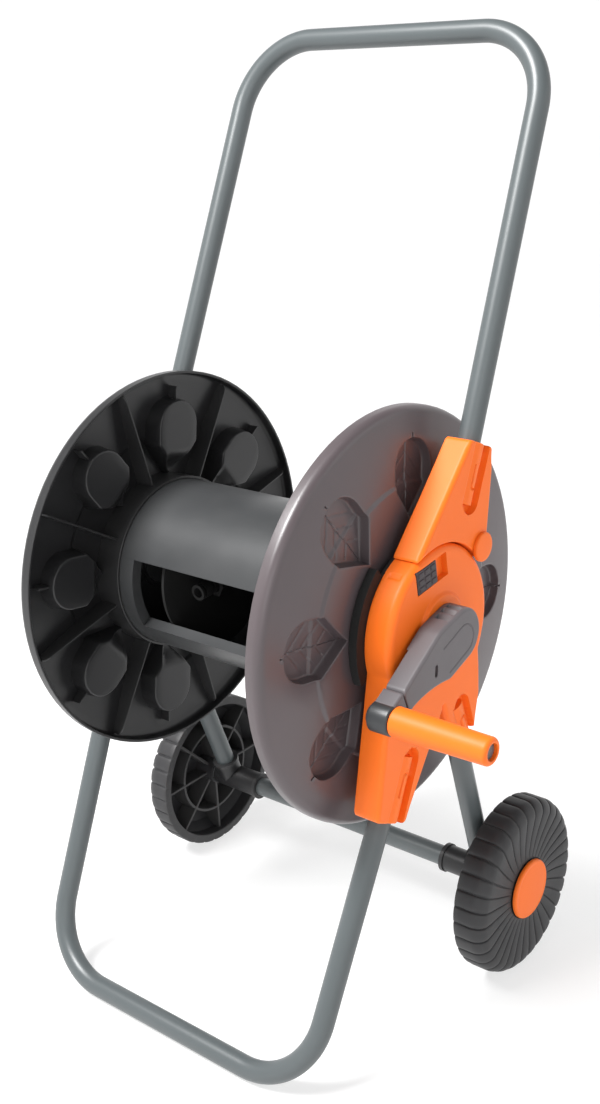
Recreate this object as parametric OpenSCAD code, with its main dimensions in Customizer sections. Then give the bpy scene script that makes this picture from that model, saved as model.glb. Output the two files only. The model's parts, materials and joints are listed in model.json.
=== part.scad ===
// Two-wheeled garden hose reel cart: a crank-driven drum between two side mouldings,
// carried by a tubular fold-down handle, a tubular front foot and a wheeled axle.
// +Z is up, +X points to the crank side, +Y points from the foot to the wheels.

/* [Stance] */
// Height of the drum axis above the ground
axis_h = 395.8; // [385:0.2:410]
// Distance from the drum axis to the centre line of the handle's grip bar
handle_len = 530.6; // [460:0.2:600]
// Lean of the handle back from the vertical, in degrees
handle_lean = 24.2; // [20:0.1:27]
// Lean of the foot forward from the vertical, in degrees
foot_lean = 26.2; // [24:0.1:28]
// Lean of the rear legs back from the vertical, in degrees
leg_lean = 17.8; // [16:0.1:19]

/* [Tubes] */
// Outer diameter of every frame tube
tube_d = 20.4; // [19:0.1:21]
// Wall of every frame tube
tube_wall = 1.5; // [1.2:0.1:2.5]
// Bend radius of the handle, on the tube's centre line
handle_bend_r = 72; // [60:1:85]
// Bend radius of the foot, on the tube's centre line
foot_bend_r = 72; // [60:1:85]
// Half width of the handle at its grip bar, to the centre lines
handle_half_w = 170; // [166:0.5:174]
// Half width of the foot at its ground bar, to the centre lines
foot_half_w = 164.9; // [160:0.1:172]
// Half width of the rear legs at the axle, to the centre lines
leg_half_w = 171; // [168.5:0.5:173]

/* [Side mouldings] */
// Distance from the middle of the cart to the inner face of a side moulding
plate_in = 163.5; // [162.5:0.1:164.5]
// Depth of a side moulding
plate_depth = 26.5; // [25.5:0.1:28]
// Rounding of the outer edges of the mouldings
edge_r = 3.5; // [2:0.5:5]
// Rounding of the hub's outer edge
hub_edge_r = 7; // [4:0.5:8]
// Radius of the round hub of the side casing
hub_r = 75.5; // [74:0.1:76]
// Radius of the raised boss round the bearing
boss_r = 32.5; // [31:0.5:40]
// Height of that boss above the face
boss_rise = 3; // [2:0.5:4]
// Reach of the front arm from the drum axis
foot_arm_len = 174; // [165:1:185]
// Reach of the rear arm from the drum axis
leg_arm_len = 135; // [130:1:145]
// Reach of the handle bracket from the drum axis
bracket_len = 165; // [155:1:175]
// Gap of the seam between the casing and the handle bracket
seam_gap = 1.2; // [1:0.1:2]
// Wall of the casing's face and rim
case_wall = 3.2; // [2.5:0.1:4]

/* [Handle pivot] */
// Distance of the handle pivot from the drum axis
pivot_r = 86.4; // [86:0.1:88]
// Direction of the handle pivot above the horizontal, in degrees
pivot_angle = 40.2; // [38:0.2:42]
// Diameter of the pivot pin
pivot_pin_d = 9; // [7:0.5:10]
// Diameter of the pin's flat head
pivot_head_d = 27; // [24:0.5:28]

/* [Latch] */
// Length of the latch plate
latch_l = 29; // [26:0.5:30]
// Width of the latch plate
latch_w = 21; // [18:0.5:22]
// Travel of the latch
latch_travel = 15; // [12:0.5:16]
// Slope of the latch slot, in degrees
latch_tilt = 7; // [5:0.5:9]

/* [Discs] */
// Outer radius of a drum disc
disc_r = 190; // [184:1:194]
// Distance from the middle of the cart to the free edge of a disc
disc_edge = 131; // [129:0.5:132]
// Distance from the middle of the cart to the outer face of a disc at its hub
disc_face = 154.5; // [154:0.1:155]
// Wall of a disc
disc_wall = 2.5; // [2:0.1:3]
// Number of leaf pockets in a disc
leaf_count = 8; // [6:1:8]
// Half width of a leaf pocket
leaf_half = 26.8; // [22:0.2:27.2]
// Radius on the disc of the centre of a leaf's round stem end
leaf_mid = 136; // [134:0.5:138]
// Radius on the disc of a leaf's shoulders, where its straight edges end
leaf_shoulder = 118.5; // [116:0.5:121]
// Radius on the disc of the tip of a leaf
leaf_tip = 88; // [87:0.5:92]
// Depth of a leaf pocket
leaf_depth = 10; // [7:0.5:11]
// Distance from the middle of the cart to the inner face of the leaf bosses
leaf_back = 130.5; // [130:0.5:132]
// Radius of the shallow step in a disc's outer face
step_r = 124.5; // [122:0.5:127]
// Height of that step
step_drop = 1.6; // [1:0.1:2]

/* [Drum] */
// Outer radius of the drum barrel
drum_r = 84; // [83:0.2:84.4]
// Wall of the drum barrel
drum_wall = 3; // [2.5:0.1:4]
// Distance from the middle to the inner end of a disc's collar
collar_in = 123.3; // [121:0.1:126]
// End of the hose window on the far side
window_x0 = -106; // [-112:1:-90]
// End of the hose window on the crank side
window_x1 = 118; // [90:1:119]
// Lower and upper direction of the window about the drum axis, in degrees
window_a0 = 159; // [155:1:165]
// Other edge of the window about the drum axis, in degrees
window_a1 = 208; // [200:1:212]
// Distance of the inner bulkhead from the middle, on the far side
bulkhead_x = 78; // [70:1:84]

/* [Bearings and water way] */
// Radius of the drum journals
journal_r = 18; // [17:0.1:19]
// Radius of the inlet spigot
spigot_r = 8; // [7.5:0.1:8.5]
// Radius of the water way
bore_r = 5; // [4.5:0.1:5.5]
// Outer radius of the drum's water pipe
pipe_r = 11; // [10.5:0.1:11.5]
// Radius of a hose nipple
nipple_r = 7.9; // [7.7:0.1:8.1]
// Length of a hose nipple
nipple_l = 22; // [18:1:26]
// Running clearance of shafts in their holes, on the radius
run_gap = 0.05; // [0.02:0.01:0.09]

/* [Crank] */
// Distance from the middle to the inner face of the crank arm
crank_in = 193.3; // [193.2:0.1:194]
// Thickness of the crank arm
crank_depth = 21.7; // [20:0.1:23]
// Radius of the crank arm at its hub end
crank_hub_r = 24.4; // [23:0.2:26]
// Distance from the drum axis to the grip's axis
crank_len = 110.2; // [100:0.2:116]
// Direction of the crank arm about the drum axis, in degrees
crank_angle = 199.7; // [190:0.1:210]
// Length of the grip
grip_l = 92; // [85:1:100]
// Diameter of the grip at the crank
grip_d0 = 26; // [25:0.2:27]
// Diameter of the grip at its free end
grip_d1 = 24; // [23:0.2:25]
// Diameter of the pin that the grip turns on
grip_pin_d = 8; // [7:0.5:9]

/* [Wheels] */
// Radius of a wheel
wheel_r = 88.6; // [84:0.2:92]
// Distance from the middle to the inner edge of a wheel
wheel_in = 191; // [190.6:0.1:192]
// Width of a wheel
wheel_w = 33; // [31:0.5:35]
// Number of tread grooves
tread_count = 32; // [24:1:36]
// Radius of the hub cap
cap_r = 30; // [28:0.5:32]
// Height of the hub cap's dome above the wheel's side
cap_dome = 3.5; // [2:0.5:6]
// Diameter of the axle rod
rod_d = 10; // [9:0.5:11]

/* [Hidden] */

$fn = 64;
over = 1;                                   // overshoot of every cut
fit = 0.1;                                  // radial gap of a tube in its socket
bend_swell = 0.02;                          // how much thicker a tube is in its bends, on the radius
bend_lap = 0.3;                             // how far a straight piece runs into a bend
seat = 0.3;                                 // gap between faces that slide past each other

plate_out = plate_in + plate_depth;         // outer face of the side mouldings
boss_out = plate_out + boss_rise;
tube_x = plate_in + plate_depth / 2;        // centre line of the tubes in the mouldings
handle_dir = 90 - handle_lean;              // directions in the side view, from +Y to +Z
foot_dir = 270 - foot_lean;
leg_dir = 270 + leg_lean;

foot_len = (axis_h - tube_d / 2) / cos(foot_lean);
axle_len = (axis_h - wheel_r) / cos(leg_lean);
axle_pos = [axle_len * sin(leg_lean), wheel_r - axis_h];
pivot_pos = [pivot_r * cos(pivot_angle), pivot_r * sin(pivot_angle)];
foot_x = tube_x - 1.5;                      // centre line of the foot tube where it leaves its arm
handle_toe = atan((tube_x - handle_half_w) / (handle_len - bracket_len));
foot_toe = atan((foot_x - foot_half_w) / (foot_len - foot_arm_len));
leg_toe = atan((tube_x - leg_half_w) / (axle_len - leg_arm_len));
// Tube lines [direction, X at the drum axis, toe-in]
handle_line = [handle_dir, tube_x + bracket_len * tan(handle_toe), handle_toe];
foot_line = [foot_dir, foot_x + foot_arm_len * tan(foot_toe), foot_toe];
leg_line = [leg_dir, tube_x + leg_arm_len * tan(leg_toe), leg_toe];

wheel_out = wheel_in + wheel_w;
crank_out = crank_in + crank_depth;
grip_start = crank_out + seat;
grip_end = grip_start + grip_l;

// Point of the side view at distance s along a direction and n to its left
function at(dir, s, n) = [s * cos(dir) - n * sin(dir), s * sin(dir) + n * cos(dir)];
grip_pos = at(crank_angle, crank_len, 0);

// The model's origin is the middle of its bounding box, at the ground
x_hi = grip_end;
x_lo = -wheel_out - cap_dome;
y_hi = handle_len * sin(handle_lean) + tube_d / 2;
y_lo = -foot_len * sin(foot_lean) - tube_d / 2;
place = [-(x_hi + x_lo) / 2, -(y_hi + y_lo) / 2, axis_h];

orange = "#ea7526";
plum_grey = "#4c474a";
dark_grey = "#3a393b";
near_black = "#242425";
tube_grey = "#6f7d80";
steel = "#b4b7ba";
rubber_black = "#1b1b1c";

// ---- frames and shared shapes ----

// Moves a child from the drum-axis frame to the model's own origin
module placed() {
    translate(place) children();
}

// The child's XY plane becomes the side view (Y, Z) and its Z becomes X
module side() {
    rotate([90, 0, 90]) children();
}

// Side view turned so that the child's X runs along a direction from the drum axis
module along(dir) {
    side() rotate([0, 0, dir]) children();
}

// Disc with a rounded outer edge, standing on its flat side
module rounded_disc(r, h, f) {
    rotate_extrude()
        polygon(concat(
            [[0, 0], [r, 0]],
            [for (a = [0 : 18 : 90]) [r - f + f * cos(a), h - f + f * sin(a)]],
            [[0, h]]));
}

// Convex moulding over pegs [y, z, radius] of the side view, rounded at its outer edge
module peg_hull(pegs, x0, depth, f) {
    side() hull()
        for (p = pegs)
            translate([p[0], p[1], x0]) rounded_disc(p[2], depth, f, $fn = 32);
}

// Ring between two radii
module ring(r_out, r_in, h) {
    difference() {
        cylinder(r = r_out, h = h);
        translate([0, 0, -over]) cylinder(r = r_in, h = h + 2 * over);
    }
}

// Wedge of the side view between two directions, out to radius r
module wedge(r, a0, a1) {
    span = a1 - a0;
    polygon([[0, 0],
        r * [cos(a0), sin(a0)],
        r * [cos(a0 + span / 3), sin(a0 + span / 3)],
        r * [cos(a0 + 2 * span / 3), sin(a0 + 2 * span / 3)],
        r * [cos(a1), sin(a1)]]);
}

// Straight piece of tube
module tube_piece(len) {
    ring(tube_d / 2, tube_d / 2 - tube_wall, len);
}

// Frame of a tube in a side moulding: the child's Z runs down the tube from the drum axis
module tube_line(t) {
    along(t[0]) translate([0, 0, t[1]]) rotate([0, 90 + t[2], 0]) children();
}

// Solid U-shaped bar of diameter d: two legs from inside their sockets, two bends and a
// crossbar; the straight pieces run a little way into the bends, which are a hair thicker
module u_bar(d, t, s_start, s_cross, half_w, bend_r) {
    toe = t[2];
    corner_cut = bend_r * tan((90 - toe) / 2);
    for (hand = [0, 1]) mirror([hand, 0, 0]) {
        tube_line(t) translate([0, 0, s_start / cos(toe)])
            cylinder(d = d, h = (s_cross - s_start) / cos(toe) - corner_cut + bend_lap);
        along(t[0]) translate([s_cross - bend_r, 0, half_w - corner_cut]) rotate([90, 0, 0])
            rotate_extrude(angle = 90 - toe, $fn = 180)
                translate([bend_r, 0]) circle(d = d + 2 * bend_swell, $fn = 64);
    }
    bar_l = 2 * (half_w - corner_cut + bend_lap);
    along(t[0]) translate([s_cross, 0, -bar_l / 2]) cylinder(d = d, h = bar_l);
}

// U-shaped tube, open at its two ends
module u_tube(t, s_start, s_cross, half_w, bend_r) {
    difference() {
        u_bar(tube_d, t, s_start, s_cross, half_w, bend_r);
        u_bar(tube_d - 2 * tube_wall, t, s_start - over, s_cross, half_w, bend_r);
    }
}

// ---- tubes ----

handle_in = hub_r + seam_gap + 10;          // where the handle tube ends inside the bracket
foot_in = hub_r + 32;                       // where the foot tube ends inside the casing
leg_in = hub_r + 2;                         // where a leg ends inside the casing
leg_socket = 26;                            // depth of the leg socket above the axle
leg_end = axle_len / cos(leg_toe) - tube_d / 2 - 3;

module handle_tube() {
    color(tube_grey) placed()
        u_tube(handle_line, handle_in, handle_len, handle_half_w, handle_bend_r);
}

module foot_tube() {
    color(tube_grey) placed()
        u_tube(foot_line, foot_in, foot_len, foot_half_w, foot_bend_r);
}

module leg() {
    tube_line(leg_line) translate([0, 0, leg_in]) tube_piece(leg_end - leg_in);
}

module leg_right() {
    color(tube_grey) placed() leg();
}

module leg_left() {
    color(tube_grey) placed() mirror([1, 0, 0]) leg();
}

// ---- axle and wheels ----

corner_in = 125;                            // inner end of the axle tube's socket
corner_out = wheel_in - 4;
sleeve_r = tube_d / 2 + 3.4;
lip_h = 4;                                  // height of the thicker lip of a socket
lip_rise = 1.2;
tube_stop = 28;                             // how far the axle tube reaches into a corner
push_nut_t = 2.4;
washer_t = 1.6;
wheel_hub_r = 15;
wheel_hub_in = wheel_in - 1.5;              // the wheel's hub reaches a little past its inner edge
wheel_hub_out = wheel_out - 13;             // and ends well inside the cap
rod_end = wheel_hub_out + push_nut_t + 3;

// Moves a child to the axle, its Z along X
module at_axle() {
    side() translate(axle_pos) children();
}

module axle_tube() {
    color(tube_grey) placed() at_axle()
        translate([0, 0, -corner_in - tube_stop])
            tube_piece(2 * (corner_in + tube_stop));
}

module axle_rod() {
    color(steel) placed() at_axle()
        translate([0, 0, -rod_end]) cylinder(d = rod_d, h = 2 * rod_end);
}

// Moulded corner with a socket for the axle tube, one for the leg, and the rod's bore
module corner() {
    leg_top = axle_len / cos(leg_toe) - leg_socket;
    difference() {
        union() {
            at_axle() translate([0, 0, corner_in]) {
                cylinder(r = sleeve_r, h = corner_out - corner_in);
                cylinder(r = sleeve_r + lip_rise, h = lip_h);
            }
            tube_line(leg_line) translate([0, 0, leg_top]) {
                cylinder(r = sleeve_r, h = leg_socket);
                cylinder(r = sleeve_r + lip_rise, h = lip_h);
            }
            at_axle() translate([0, 0, corner_out]) cylinder(r = 9, h = wheel_hub_in - washer_t - corner_out);
        }
        at_axle() translate([0, 0, corner_in - over]) cylinder(d = tube_d + 2 * fit, h = tube_stop + over);
        at_axle() translate([0, 0, corner_in]) cylinder(d = rod_d + 2 * run_gap, h = wheel_hub_in - corner_in);
        tube_line(leg_line) translate([0, 0, leg_top - over])
            cylinder(d = tube_d + 2 * fit, h = leg_end - leg_top + over);
    }
}

module corner_right() {
    color(near_black) placed() corner();
}

module corner_left() {
    color(near_black) placed() mirror([1, 0, 0]) corner();
}

shoulder_r = 15;                            // rounding of the tyre's outer shoulder
groove_depth = 1.6;
groove_w = 1.8;
rim_wall = 4;
cap_sink = 2;                               // how deep the hub cap sits in the wheel

// Outer profile [radius, x] of a wheel, shrunk by d, from its inner edge round to the cap
function tyre_line(d) = concat(
    [[wheel_r - d, 0]],
    [for (a = [0 : 15 : 90])
        [wheel_r - shoulder_r + (shoulder_r - d) * cos(a), wheel_w - 3 - shoulder_r + (shoulder_r - d) * sin(a)]],
    [[cap_r + 3, wheel_w - d]]);

module wheel() {
    inner_lip = wheel_r - 10;
    at_axle() translate([0, 0, wheel_in]) difference() {
        union() {
            rotate_extrude() polygon(concat(
                [[inner_lip, 0]],
                tyre_line(0),
                [[wheel_hub_r, wheel_w], [wheel_hub_r, wheel_w - 5], [cap_r - 2, wheel_w - 5]],
                [[wheel_r - shoulder_r - 4, wheel_w - 3 - rim_wall], [inner_lip, wheel_w - shoulder_r - 3]]));
            translate([0, 0, wheel_hub_in - wheel_in])
                cylinder(r = wheel_hub_r + over, h = wheel_hub_out - wheel_hub_in);
            translate([0, 0, 6]) ring(52, 49, wheel_w - 10);
            for (i = [0 : 7])
                rotate([0, 0, i * 45])
                    translate([wheel_hub_r, -1.5, 6]) cube([inner_lip - wheel_hub_r + 2, 3, wheel_w - 11]);
        }
        translate([0, 0, wheel_hub_out - wheel_in]) cylinder(r = wheel_hub_r - over, h = wheel_w);
        translate([0, 0, -5]) cylinder(d = rod_d + 2 * run_gap, h = wheel_w);
        for (i = [0 : tread_count - 1])
            rotate([0, 0, (i + 0.5) * 360 / tread_count]) tread_groove();
        translate([0, 0, wheel_w - cap_sink]) cylinder(r = cap_r + seat, h = 5);
    }
}

// One groove across the tread and down over the shoulder to the cap
module tread_groove() {
    rotate([90, 0, 0]) translate([0, 0, -groove_w / 2]) linear_extrude(groove_w)
        polygon(concat(
            [[wheel_r + 4, 0], [wheel_r + 4, wheel_w + 4], [cap_r + 3, wheel_w + 4]],
            [for (i = [len(tyre_line(0)) - 1 : -1 : 0]) tyre_line(groove_depth)[i]]));
}

module wheel_right() {
    color(dark_grey) placed() wheel();
}

module wheel_left() {
    color(dark_grey) placed() mirror([1, 0, 0]) wheel();
}

// Domed hub cap with a ring that snaps into the wheel
module cap() {
    dome_r = (cap_r * cap_r + cap_dome * cap_dome) / (2 * cap_dome);
    at_axle() translate([0, 0, wheel_out - cap_sink]) difference() {
        intersection() {
            translate([0, 0, cap_sink + cap_dome - dome_r]) sphere(r = dome_r, $fn = 128);
            cylinder(r = cap_r, h = cap_sink + cap_dome + over);
        }
        translate([0, 0, -over]) cylinder(r = wheel_hub_r - 2, h = over + 1);
    }
}

module cap_right() {
    color(orange) placed() cap();
}

module cap_left() {
    color(orange) placed() mirror([1, 0, 0]) cap();
}

module washer() {
    at_axle() translate([0, 0, wheel_hub_in - washer_t]) ring(12, rod_d / 2 + run_gap, washer_t - seat / 2);
}

module washer_right() {
    color(steel) placed() washer();
}

module washer_left() {
    color(steel) placed() mirror([1, 0, 0]) washer();
}

module push_nut() {
    at_axle() translate([0, 0, wheel_hub_out + seat / 2]) ring(11, rod_d / 2 + 0.02, push_nut_t);
}

module push_nut_right() {
    color(steel) placed() push_nut();
}

module push_nut_left() {
    color(steel) placed() mirror([1, 0, 0]) push_nut();
}

// ---- side casing ----

bush_r = journal_r + 4;
bush_flange_r = journal_r + 9;
bush_flange_t = 2;
shell_t = 3;
hinge_mid = plate_in + 12;                  // the hinge's lap joint, inside the lug and outside the bracket
lug_r = pivot_r - hub_r - seam_gap + 0.3;
neck_half_w = 7;                            // half width of the hinge lug's neck
relief_floor = plate_out - 7;
relief_r = 12;
bump_half_w = 9.2;
bump_r = plate_out - tube_x;
latch_pos = [-19, 54.5];                    // the latch plate's middle, at the start of its travel
slot_l = latch_l + latch_travel + 2;
slot_mid = latch_pos + at(latch_tilt, latch_travel / 2, 0);
slot_floor = plate_out - 5.5;
stem_l = 9.4;
stem_w = 7.4;

// Cut round the end of a tube socket: a J-shaped groove on one side of the raised half tube
module socket_relief(s0, s1, hand) {
    translate([0, 0, relief_floor]) linear_extrude(2 * plate_depth) {
        translate([s0 + relief_r, 3 * hand]) circle(r = relief_r);
        translate([s0 + relief_r, hand > 0 ? -bump_half_w : -relief_r - 3])
            square([s1 - s0, relief_r + 3 + bump_half_w]);
    }
}

// Raised half tube over the socket
module socket_bump(s0, s1) {
    intersection() {
        translate([s0 + 8, 0, tube_x]) rotate([0, 90, 0]) cylinder(r = bump_r, h = s1 - s0 - 8);
        translate([s0, -bump_half_w, tube_x]) cube([s1 - s0, 2 * bump_half_w, plate_depth]);
    }
}

front_arm = [
    [-hub_r + 6.5, -22, 4.5],
    concat(at(foot_dir, foot_arm_len - 5, -21), [5]),
    concat(at(foot_dir, foot_arm_len - 5, 15.5), [5]),
    [-2, -78, 5]];
rear_arm = [
    [57, -44, 6],
    [55, -84, 8],
    concat(at(leg_dir, leg_arm_len - 5, 9), [5]),
    concat(at(leg_dir, leg_arm_len - 5, -15), [5]),
    [8, -74, 5]];
foot_relief_s = 106;
leg_relief_s = 82;
bracket_relief_s = 102;

// Side casing: round hub with a front arm for the foot tube and a rear arm for the leg
module casing(with_latch) {
    difference() {
        union() {
            difference() {
                union() {
                    side() translate([0, 0, plate_in]) rounded_disc(hub_r, plate_depth, hub_edge_r, $fn = 96);
                    peg_hull(front_arm, plate_in, plate_depth, edge_r);
                    peg_hull(rear_arm, plate_in, plate_depth, edge_r);
                }
                along(foot_dir) socket_relief(foot_relief_s, foot_arm_len, 1);
                along(leg_dir) socket_relief(leg_relief_s, leg_arm_len, 1);
                side() translate([0, 0, plate_in - over]) cylinder(r = hub_r - 6, h = plate_depth + over - case_wall);
            }
            along(foot_dir) socket_bump(foot_relief_s, foot_arm_len);
            along(leg_dir) socket_bump(leg_relief_s, leg_arm_len);
            side() translate([0, 0, plate_in]) cylinder(r = bush_r + 4, h = plate_depth);
            side() translate([0, 0, plate_out - case_wall]) rounded_disc(boss_r, case_wall + boss_rise, 2);
            hub_ribs();
            hinge_lug();
            if (with_latch) latch_pad();
        }
        side() translate([0, 0, plate_in - over]) {
            cylinder(r = bush_r + 0.02, h = plate_depth + over);
            cylinder(r = journal_r + 1, h = 2 * plate_depth);
        }
        side() translate([pivot_pos[0], pivot_pos[1], plate_in - over])
            cylinder(d = pivot_pin_d + 0.04, h = 2 * plate_depth);
        tube_line(foot_line) translate([0, 0, foot_in]) cylinder(d = tube_d + 2 * fit, h = foot_arm_len);
        tube_line(leg_line) translate([0, 0, leg_in]) cylinder(d = tube_d + 2 * fit, h = leg_arm_len);
        if (with_latch) latch_slot();
    }
}

// Radial ribs that stiffen the hub's face from inside
module hub_ribs() {
    rib_h = plate_depth - 4;
    side() for (a = [40.5 : 45 : 355.5])
        rotate([0, 0, a]) translate([bush_r, -1.2, plate_out - rib_h]) cube([hub_r - 5 - bush_r, 2.4, rib_h - 1]);
}

// Inner half of the handle's hinge
module hinge_lug() {
    side() translate([0, 0, plate_in]) linear_extrude(hinge_mid - seat / 2 - plate_in) {
        translate(pivot_pos) circle(r = lug_r);
        rotate(pivot_angle) translate([hub_r - 7, -neck_half_w]) square([pivot_r - hub_r + 7, 2 * neck_half_w]);
    }
}

// Thicker part of the face that guides the latch
module latch_pad() {
    side() translate([slot_mid[0], slot_mid[1], plate_out - 12]) rotate(latch_tilt)
        translate([-slot_l / 2 - 3, -latch_w / 2 - 3, 0]) cube([slot_l + 6, latch_w + 6, 12 - 1]);
}

module latch_slot() {
    side() translate([slot_mid[0], slot_mid[1], slot_floor]) rotate(latch_tilt) {
        translate([-slot_l / 2, -latch_w / 2 - seat, 0]) cube([slot_l, latch_w + 2 * seat, 20]);
        translate([-(stem_l + latch_travel + 2) / 2, -stem_w / 2 - seat, -20])
            cube([stem_l + latch_travel + 2, stem_w + 2 * seat, 21]);
    }
}

module casing_right() {
    color(orange) placed() casing(true);
}

module casing_left() {
    color(orange) placed() mirror([1, 0, 0]) casing(false);
}

guard_a0 = 128;                             // the guard's arc along the front of the hub
guard_a1 = 200;
guard_wall = 4;

// Dark inner cover with a guard arc along the front of the hub
module shell() {
    guard_r = drum_r + 2;
    guard_in = disc_face + 0.8;
    guard_reach = plate_in - guard_in;
    side() translate([0, 0, plate_in - shell_t]) difference() {
        union() {
            cylinder(r = hub_r - 0.5, h = shell_t);
            translate([0, 0, shell_t - guard_reach]) intersection() {
                ring(guard_r, guard_r - guard_wall, guard_reach);
                guard_span(guard_r, guard_reach);
            }
            intersection() {
                cylinder(r = guard_r, h = shell_t);
                guard_span(guard_r, shell_t);
            }
        }
        translate([0, 0, -over]) cylinder(r = bush_r + 0.02, h = shell_t + 2 * over);
    }
}

// The sector that the guard fills, a little higher than h at both ends
module guard_span(r, h) {
    translate([0, 0, -over]) linear_extrude(h + 2 * over) wedge(2 * r, guard_a0, guard_a1);
}

module shell_right() {
    color(near_black) placed() shell();
}

module shell_left() {
    color(near_black) placed() mirror([1, 0, 0]) shell();
}

// Flanged bearing bush
module bush() {
    flange_in = plate_in - shell_t - bush_flange_t;
    side() translate([0, 0, flange_in]) difference() {
        union() {
            cylinder(r = bush_r, h = plate_out - flange_in);
            cylinder(r = bush_flange_r, h = bush_flange_t);
        }
        translate([0, 0, -over]) cylinder(r = journal_r + run_gap, h = 3 * plate_depth);
    }
}

module bush_right() {
    color("#d8d6cc") placed() bush();
}

module bush_left() {
    color("#d8d6cc") placed() mirror([1, 0, 0]) bush();
}

// ---- handle bracket and its pivot ----

bracket_pegs = [
    concat(at(handle_dir, bracket_len - 4, 14), [4]),
    concat(at(handle_dir, bracket_len - 4, -17.5), [4]),
    [82.3, 122, 4],
    [pivot_pos[0], pivot_pos[1], lug_r],
    [-26.5, 70.5, 4]];

module bracket() {
    difference() {
        union() {
            difference() {
                peg_hull(bracket_pegs, plate_in, plate_depth, edge_r);
                along(handle_dir) socket_relief(bracket_relief_s, bracket_len, -1);
            }
            along(handle_dir) socket_bump(bracket_relief_s, bracket_len);
        }
        side() translate([0, 0, plate_in - over]) cylinder(r = hub_r + seam_gap, h = 2 * plate_depth, $fn = 96);
        side() translate([pivot_pos[0], pivot_pos[1], plate_in - over]) {
            cylinder(r = lug_r + 2.6, h = hinge_mid + seat / 2 - plate_in + over);
            cylinder(d = pivot_pin_d + 2 * run_gap, h = 2 * plate_depth);
        }
        tube_line(handle_line) translate([0, 0, handle_in]) cylinder(d = tube_d + 2 * fit, h = bracket_len);
    }
}

module bracket_right() {
    color(orange) placed() bracket();
}

module bracket_left() {
    color(orange) placed() mirror([1, 0, 0]) bracket();
}

// Flat-headed pin pressed into the casing's lug
module pivot_pin() {
    side() translate([pivot_pos[0], pivot_pos[1], plate_in + 1]) {
        cylinder(d = pivot_pin_d, h = plate_depth);
        translate([0, 0, plate_depth - 1 + seat]) rounded_disc(pivot_head_d / 2, 3.5, 1.5);
    }
}

module pivot_pin_right() {
    color(orange) placed() pivot_pin();
}

module pivot_pin_left() {
    color(orange) placed() mirror([1, 0, 0]) pivot_pin();
}

// Ribbed plate of the latch, with its stem and the foot that keeps it in the slot
module latch_slider() {
    color(plum_grey) placed() side()
        translate([latch_pos[0], latch_pos[1], slot_floor + seat]) rotate(latch_tilt) {
            translate([-latch_l / 2, -latch_w / 2, 0]) cube([latch_l, latch_w, plate_out - slot_floor]);
            for (i = [-1 : 1], j = [-1 : 1])
                translate([i * 9 - 3, j * 6.4 - 1.8, 0]) cube([6, 3.6, plate_out - slot_floor + 0.8]);
            translate([-stem_l / 2, -stem_w / 2, -8.5]) cube([stem_l, stem_w, 9]);
            translate([-stem_l / 2, -stem_w / 2 - 3, -9.5]) cube([stem_l, stem_w + 6, 2]);
        }
}

// ---- drum ----

drum_end = disc_face - disc_wall;           // inner face of the discs, where the barrel ends
disc_hub_in = disc_face - 6;                // inner face of the thick plate at a disc's centre
collar_r = drum_r + 2.7;
notch_angle = 146;

frame_in = drum_r - 11;                     // inner reach of the window's frame
frame_lap = 3;                              // width of the frame's rails, in degrees and in mm

// Sector of the window grown by g degrees at each side, from x0 to x1
module window_span(g, x0, x1) {
    translate([0, 0, x0]) linear_extrude(x1 - x0) wedge(2 * drum_r, window_a0 - g, window_a1 + g);
}

module drum_barrel() {
    color(near_black) placed() side() difference() {
        union() {
            translate([0, 0, -drum_end]) ring(drum_r, drum_r - drum_wall, 2 * drum_end);
            intersection() {
                translate([0, 0, window_x0 - frame_lap])
                    ring(drum_r - over, frame_in, window_x1 - window_x0 + frame_lap);
                window_span(frame_lap, -drum_end, drum_end);
            }
        }
        difference() {
            window_span(0, window_x0, window_x1);
            translate([0, 0, -drum_end]) cylinder(r = frame_in - over, h = 2 * drum_end);
        }
    }
}

// Wall across the barrel that carries the water pipe, notched round the window's frame
module drum_bulkhead() {
    sleeve_l = 6;
    color(near_black) placed() side() translate([0, 0, -bulkhead_x]) difference() {
        union() {
            cylinder(r = drum_r - drum_wall - 0.02, h = drum_wall);
            translate([0, 0, -sleeve_l]) cylinder(r = pipe_r + 3, h = sleeve_l);
        }
        difference() {
            window_span(frame_lap + 0.1, -over, drum_wall + over);
            translate([0, 0, -2 * over]) cylinder(r = frame_in - 0.1, h = drum_wall + 4 * over);
        }
        translate([0, 0, -sleeve_l - over]) cylinder(r = pipe_r + 0.02, h = sleeve_l + drum_wall + 2 * over);
    }
}

dome_start = 92;                            // the disc's outer face is flat inside this radius
dome_fall = 0.00088;                        // and falls by this times the square of the way beyond it
rim_r = 8;                                  // rounding of a disc's outer corner
rim_x = dome_x(disc_r - rim_r) - rim_r;
leaf_step = 360 / leaf_count;
leaf_angle = 81.5;                          // direction of the first leaf about the drum axis
rib_angle = leaf_angle + leaf_step / 2;
leaf_wall = 1;                              // how much wider a boss is than its pocket, all round
stem_end = leaf_mid + leaf_half;

// Distance from the middle of the cart to a disc's outer face at radius r
function dome_x(r) =
    disc_face - dome_fall * pow(max(r - dome_start, 0), 2) - (r > step_r ? step_drop : 0);

// Radii where the fall of a disc's face is marked off, in ninetieths of its way to the rim
dome_marks = [for (k = [16, 46, 58, 69, 80]) dome_start + k * (disc_r - rim_r - dome_start) / 90];
step_run = 2;                               // how far the step takes to fall

// Radii where a disc's profile turns, with the two sides of its step
dome_radii = concat(
    [collar_r - 2, dome_start], [for (r = dome_marks) if (r < step_r) r], [step_r, step_r + step_run],
    [for (r = dome_marks) if (r > step_r + step_run) r], [disc_r - rim_r]);

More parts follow.
